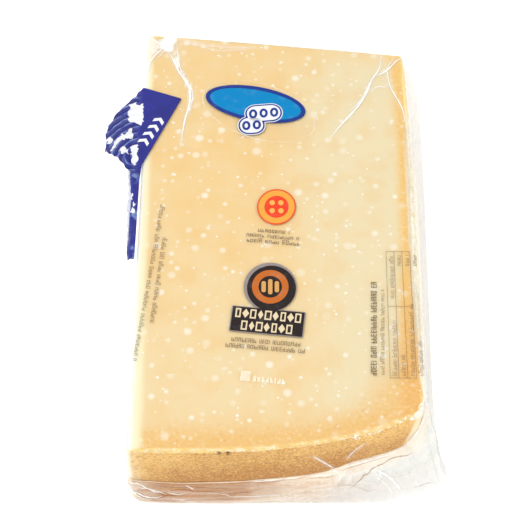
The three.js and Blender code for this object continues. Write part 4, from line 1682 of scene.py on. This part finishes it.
def make_sticker():
    """A thin clear oval sticker. Its glare value, a painted highlight, is high on its rim."""
    loops = []
    for inset, lift in ((STICKER_RIM, 1), (STICKER_RIM, 1), (0.1, 1), (0, 0.6), (0, 0)):
        outline = ellipse(STICKER_LENGTH - 2 * inset, STICKER_WIDTH - 2 * inset, 120)
        flat = turned(outline, STICKER_TURN, (STICKER_X, STICKER_RADIUS))
        loops.append(on_slope(flat[:, 0], flat[:, 1], STICKER_LIFT + lift * STICKER_THICKNESS))
    count = len(loops[0])
    faces = [range(count)]
    for k in range(1, len(loops) - 1):
        for i in range(count):
            j = (i + 1) % count
            faces.append((k * count + j, k * count + i, (k + 1) * count + i, (k + 1) * count + j))
    faces.append(range(len(loops) * count - 1, (len(loops) - 1) * count - 1, -1))
    piece = new_mesh("sticker", np.vstack(loops), faces, smooth=False)
    # How strong the painted highlight on the rim is, changing along it
    worn = np.clip(0.16 + 0.5 * wavy(np.vstack(loops), 7, 41), 0.04, 0.4)
    set_values(piece, "glare", np.repeat([0, 1, 1, 1, 0], count) * worn)
    return piece


# ---- The opening tab ----

TAB_START = 29.8
TAB_END = 120.5
TAB_ROWS = 300
TAB_COLUMNS = 44
TAB_THICKNESS = 0.14
TAB_LIFT = 0.72
TAB_OUTER = [(TAB_START, -57.4), (34.2, -60.9), (37.3, -65.1), (41.4, -69.6), (45.4, -72.3), (50, -73.3),
             (54.3, -72.9), (59, -73.4), (61.5, -71), (64.6, -67.9), (69.2, -64.7), (74, -62.2),
             (79.5, -61.7), (97.7, -61.5), (113, -60.9), (TAB_END, -60.3)]
TAB_INNER = [(TAB_START, -56.9), (35.7, -40.4), (72, -56.3), (79.7, -57), (100.5, -57.2), (TAB_END, -57.4)]
TAB_FAN = (-59.3, 66.5)
TAB_PLEAT = 3.3
TAB_DROOP = 0.09
TAB_DROOP_POWER = 1.6
TAB_RIDGE_AT = 0.42
# Where the crumpled fan goes over into the plain strip
TAB_STRIP = (74, 80)
TAB_WARP = (1, 8, 31, 1)
TAB_JAGS = (0.4, 2.6, 32, 2)
TAB_TEARS = [(0.9, 1.8, 33, 2), (0.9, 1.8, 34, 2)]

# White patches on the tab, as outlines of (x, radius)
TAB_PATCHES = [
    [(-62.9, 38.3), (-59.9, 37.2), (-58.9, 39.4), (-57, 38.8), (-56.6, 49.3), (-58, 50.4), (-59.8, 48.8),
     (-61.1, 49.4), (-63.4, 47.2), (-62.6, 45), (-64.4, 43.3), (-63.2, 41.6)],
    [(-70.4, 60.8), (-69.8, 57.3), (-67.3, 54.8), (-64.4, 53.3), (-61.7, 51.5), (-60.8, 56.5),
     (-64.2, 56.7), (-66.9, 57.5), (-68.8, 59.5)],
    [(-67, 62), (-65.3, 61), (-63.9, 60), (-63.1, 62.5), (-61.9, 65.5), (-65.2, 64)],
    [(-73, 52.4), (-71.4, 51.3), (-70.2, 53.3), (-70.4, 55.7), (-72.2, 56.4)],
    [(-61.2, 62.2), (-58.7, 61.2), (-58.2, 65), (-58.2, 68.8), (-59.3, 72), (-60.7, 70)],
    [(-60.4, 85.8), (-59.3, 87.2), (-59.7, 90), (-60.3, 89)],
    [(-59.4, 91), (-58.3, 92), (-58.2, 94), (-59.3, 93.4)],
    [(-59.8, 94.4), (-58.4, 95.6), (-58.6, 98), (-59.6, 96.8)],
]
CHEVRON_COUNT = 4
CHEVRON_SPACING = 4.3
CHEVRON_LEAN = math.radians(62)
CHEVRONS_MIDDLE = (-52.7, 53.6)
TAB_SLIVER_OUTLINE = [(-66, 73), (-61.4, 74.6), (-60.4, 86), (-60.2, 98), (-60.6, 114), (-64, 114)]


def make_tab():
    """A printed strip that lies on the film and hangs, crumpled, over the left edge."""
    radius = np.linspace(TAB_START, TAB_END, TAB_ROWS + 1)
    outer = np.interp(radius, *zip(*TAB_OUTER))
    inner = np.interp(radius, *zip(*TAB_INNER))
    share = np.linspace(0, 1, TAB_COLUMNS + 1)
    x = outer[:, None] + (inner - outer)[:, None] * share[None, :]
    r = np.repeat(radius[:, None], TAB_COLUMNS + 1, 1)
    outside = np.maximum(0, left_end(r) - FILM_GROW - x)
    flat = np.stack([x.ravel(), r.ravel()], 1)
    deep = np.column_stack([flat, np.zeros(len(flat))])
    warp = waves(deep, TAB_WARP).reshape(x.shape)
    fan = np.hypot(x - TAB_FAN[0], r - TAB_FAN[1])
    phase = (fan / TAB_PLEAT + warp * 0.35) % 1
    crest = 1 - np.abs(2 * phase - 1)
    on_strip = smooth_between(r, *TAB_STRIP)
    ridge = np.abs(share[None, :] - TAB_RIDGE_AT) * 2
    free = smooth_between(outside, 0.3, 4)
    fold = (1 - on_strip) * (crest * 1.2 - 0.55) + on_strip * (0.5 - ridge + 0.8 * warp)
    jag = waves(deep, TAB_JAGS).reshape(x.shape) * free
    lift = TAB_LIFT - TAB_DROOP * outside**TAB_DROOP_POWER + free * (fold + 0.9 * warp + 0.5 * jag)
    points = on_slope(x + jag * (1 - share[None, :]), r + 0.7 * jag, lift)
    piece = new_mesh("blue_tab", points.reshape(-1, 3), sheet_quads(TAB_ROWS, TAB_COLUMNS))
    white = np.zeros(len(flat))
    torn = flat + np.stack([waves(deep, tear) for tear in TAB_TEARS], 1)
    for outline in TAB_PATCHES:
        white = np.maximum(white, inside(torn, outline, 0.4))
    set_values(piece, "white", white)
    set_values(piece, "sliver", inside(flat + 0.3 * (torn - flat), TAB_SLIVER_OUTLINE, 0.5))
    # A painted sheen on the pleats' crests and on the strip where it is warped
    shine = smooth_between(crest, 0.74, 0.96) * free * (1 - on_strip)
    set_values(piece, "shine", shine + on_strip * smooth_between(warp, 0.1, 0.4))
    # Painted shade in the pleats' troughs
    set_values(piece, "crease", (1 - smooth_between(crest, 0.05, 0.4)) * free * (1 - on_strip))
    thicken(piece, TAB_THICKNESS)
    return piece


def tab_finish():
    finish = Finish("tab_film")
    place = finish.place()
    tone = finish.cloud(place, 0.006, 3)
    broken = finish.cloud(place, 0.0035, 3)
    skin = finish.coats(
        TAB_BLUE,
        # Darker in random patches, and painted shade in the pleats' troughs
        (tone.rise(0.35, 0.75) * 0.4 + finish.value("crease") * 0.7, TAB_SHADE),
        # A painted sheen
        (finish.value("shine") * broken.rise(0.36, 0.56) * 0.9, TAB_SHINE),
        (finish.value("sliver") * (0.75 + broken.rise(0.4, 0.6) * 0.25), TAB_SLIVER),
        (finish.value("white").rise(0.35, 0.65), TAB_WHITE),
    )
    shader = finish.surface(
        Base_Color=skin,
        Roughness=0.22 + tone * 0.15,
        Normal=finish.bump(broken, 0.0005, 0.4),
        Specular_IOR_Level=0.3,
    )
    return finish.done(shader)


def mark_tab():
    """White chevrons along the tab's slanting side."""
    marks = Plates("print_tab_marks", TAB_WHITE, TAB_LIFT + TAB_THICKNESS / 2 + 0.04)
    for k in range(CHEVRON_COUNT):
        along = (k - (CHEVRON_COUNT - 1) / 2) * CHEVRON_SPACING
        middle = turned([(along, 0)], CHEVRON_LEAN, CHEVRONS_MIDDLE)[0]
        marks.add([(-1.9, -2.4), (-0.1, -2.4), (1.6, 0), (-0.2, 0)], middle, CHEVRON_LEAN)
        marks.add([(-0.2, 0), (1.6, 0), (-0.1, 2.4), (-1.9, 2.4)], middle, CHEVRON_LEAN)
    marks.make()


# ---- The studio ----

CAMERA_DISTANCE = 785
CAMERA_ELEVATION = math.radians(79)
CAMERA_ROLL = math.radians(0.33)
CAMERA_TARGET = (-3.2, -111.1, 40)
FOCAL_LENGTH = 127.05
FLOOR_SIZE = 3000
FLOOR_GLOW = 0.3
FLOOR_WHITE = colour(250, 250, 250)
FLOOR_SHADE = colour(246, 246, 246)
WORLD_GLOW = 0.95
SENSOR_WIDTH = 36
NEAR_AND_FAR = (0.05, 20)
# Lamps, in metres and watts: name, place, size and power
LAMPS = [("key", (-0.7, 0.3, 1.2), 1.4, 10), ("fill", (0.8, -0.6, 1.0), 1.2, 5.6)]
LAMP_TARGET = (0, 0, 0.03)


def make_camera():
    data = bpy.data.cameras.new("camera")
    data.sensor_width = SENSOR_WIDTH
    data.lens = FOCAL_LENGTH
    data.clip_start, data.clip_end = NEAR_AND_FAR
    camera = add_object("camera", data)
    target = Vector(to_row(CAMERA_TARGET)[0])
    back = Vector((0, -math.cos(CAMERA_ELEVATION), math.sin(CAMERA_ELEVATION)))
    tilt = Matrix.Rotation(math.pi / 2 - CAMERA_ELEVATION, 4, "X")
    roll = Matrix.Rotation(CAMERA_ROLL, 4, "Z")
    camera.matrix_world = Matrix.Translation(target + back * CAMERA_DISTANCE * MM) @ tilt @ roll
    bpy.context.scene.camera = camera


def make_lamp(name, place, size, power):
    data = bpy.data.lights.new(name, "AREA")
    data.shape = "DISK"
    data.size = size
    data.energy = power
    lamp = add_object(name, data)
    lamp.location = place
    lamp.rotation_euler = (Vector(LAMP_TARGET) - Vector(place)).to_track_quat("-Z", "Y").to_euler()


def make_studio():
    half = FLOOR_SIZE / 2
    corners = [(-half, -half, 0), (half, -half, 0), (half, half, 0), (-half, half, 0)]
    floor = new_mesh("floor", corners, [(0, 1, 2, 3)], smooth=False)
    finish = Finish("floor_white")
    grain = finish.cloud(finish.place(), 0.05, 2)
    shade = finish.blend(grain * 0.1, FLOOR_WHITE, FLOOR_SHADE)
    lit = finish.surface(
        Base_Color=shade, Roughness=0.9, Emission_Color=(1, 1, 1, 1), Emission_Strength=FLOOR_GLOW,
    )
    floor.data.materials.append(finish.done(lit))
    floor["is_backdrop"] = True
    world = bpy.data.worlds.new("studio")
    bpy.context.scene.world = world
    world.use_nodes = True
    sky = world.node_tree.nodes["Background"].inputs
    sky["Color"].default_value = (1, 1, 1, 1)
    sky["Strength"].default_value = WORLD_GLOW
    for lamp in LAMPS:
        make_lamp(*lamp)
    bpy.context.scene.view_settings.view_transform = "Standard"
    bpy.context.scene.view_settings.look = "None"


# ---- Everything together ----

make_camera()
make_studio()

cheese = dress(make_cheese(), cheese_finish(), "cheese", "bag")
make_grains(cheese)

bright = bright_lines() + random_lines(WRINKLE_SEED)
edge = edge_lines()
dress(make_film(bright + edge), film_finish("film_clear", 0.006, 0.06, 0.008), "film", "bag")
# The white of the creases is a painted highlight
fold = crease_finish("film_fold", FILM_WHITE, 0.6, 0.95)
dress(make_creases("film_creases", bright, fold), fold, "film")
# The pale edge creases are a painted highlight too
pale_fold = crease_finish("film_edge_fold", FILM_EDGE_CREAM, 0.3, 0.85)
dress(make_creases("film_edge_creases", edge, pale_fold), pale_fold, "film")
# A thin grey-blue bead along the tip's rim, painted shade
rim_shade = crease_finish("film_seam", FILM_TEAL, 0.12, 0.2)
dress(make_creases("film_tip_rim_shade", [(TIP_RIM_SHADE, tip_rim_shade())], rim_shade), rim_shade, "film")
web, web_map = make_web()
dress(web, web_finish(), "film")
# White and root folds are painted highlights, rosy and grey folds painted shade
for name, folds, tint, low, high in (
    ("white", WHITE_FOLDS, FOLD_WHITE, 0.6, 0.98),
    ("rosy", ROSY_FOLDS, ROSY_FOLD, 0.3, 0.65),
    ("grey", GREY_FOLDS, FILM_GREY, 0.1, 0.28),
    ("root", [ROOT_FOLD], ROOT_CREAM, 0.7, 0.95),
):
    crease = crease_finish("film_fold_" + name, tint, low, high)
    dress(make_creases("film_web_" + name, web_map.lines(folds), crease), crease, "film")
dress(make_sticker(), film_finish("sticker_clear", 0.006, 0.1, 0.0), "label", "label")
dress(make_tab(), tab_finish(), "tab", "opening_tab")
mark_tab()
pen = np.random.default_rng(8)
print_oval()
print_seal()
print_badge()
print_lines(pen)

low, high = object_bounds()
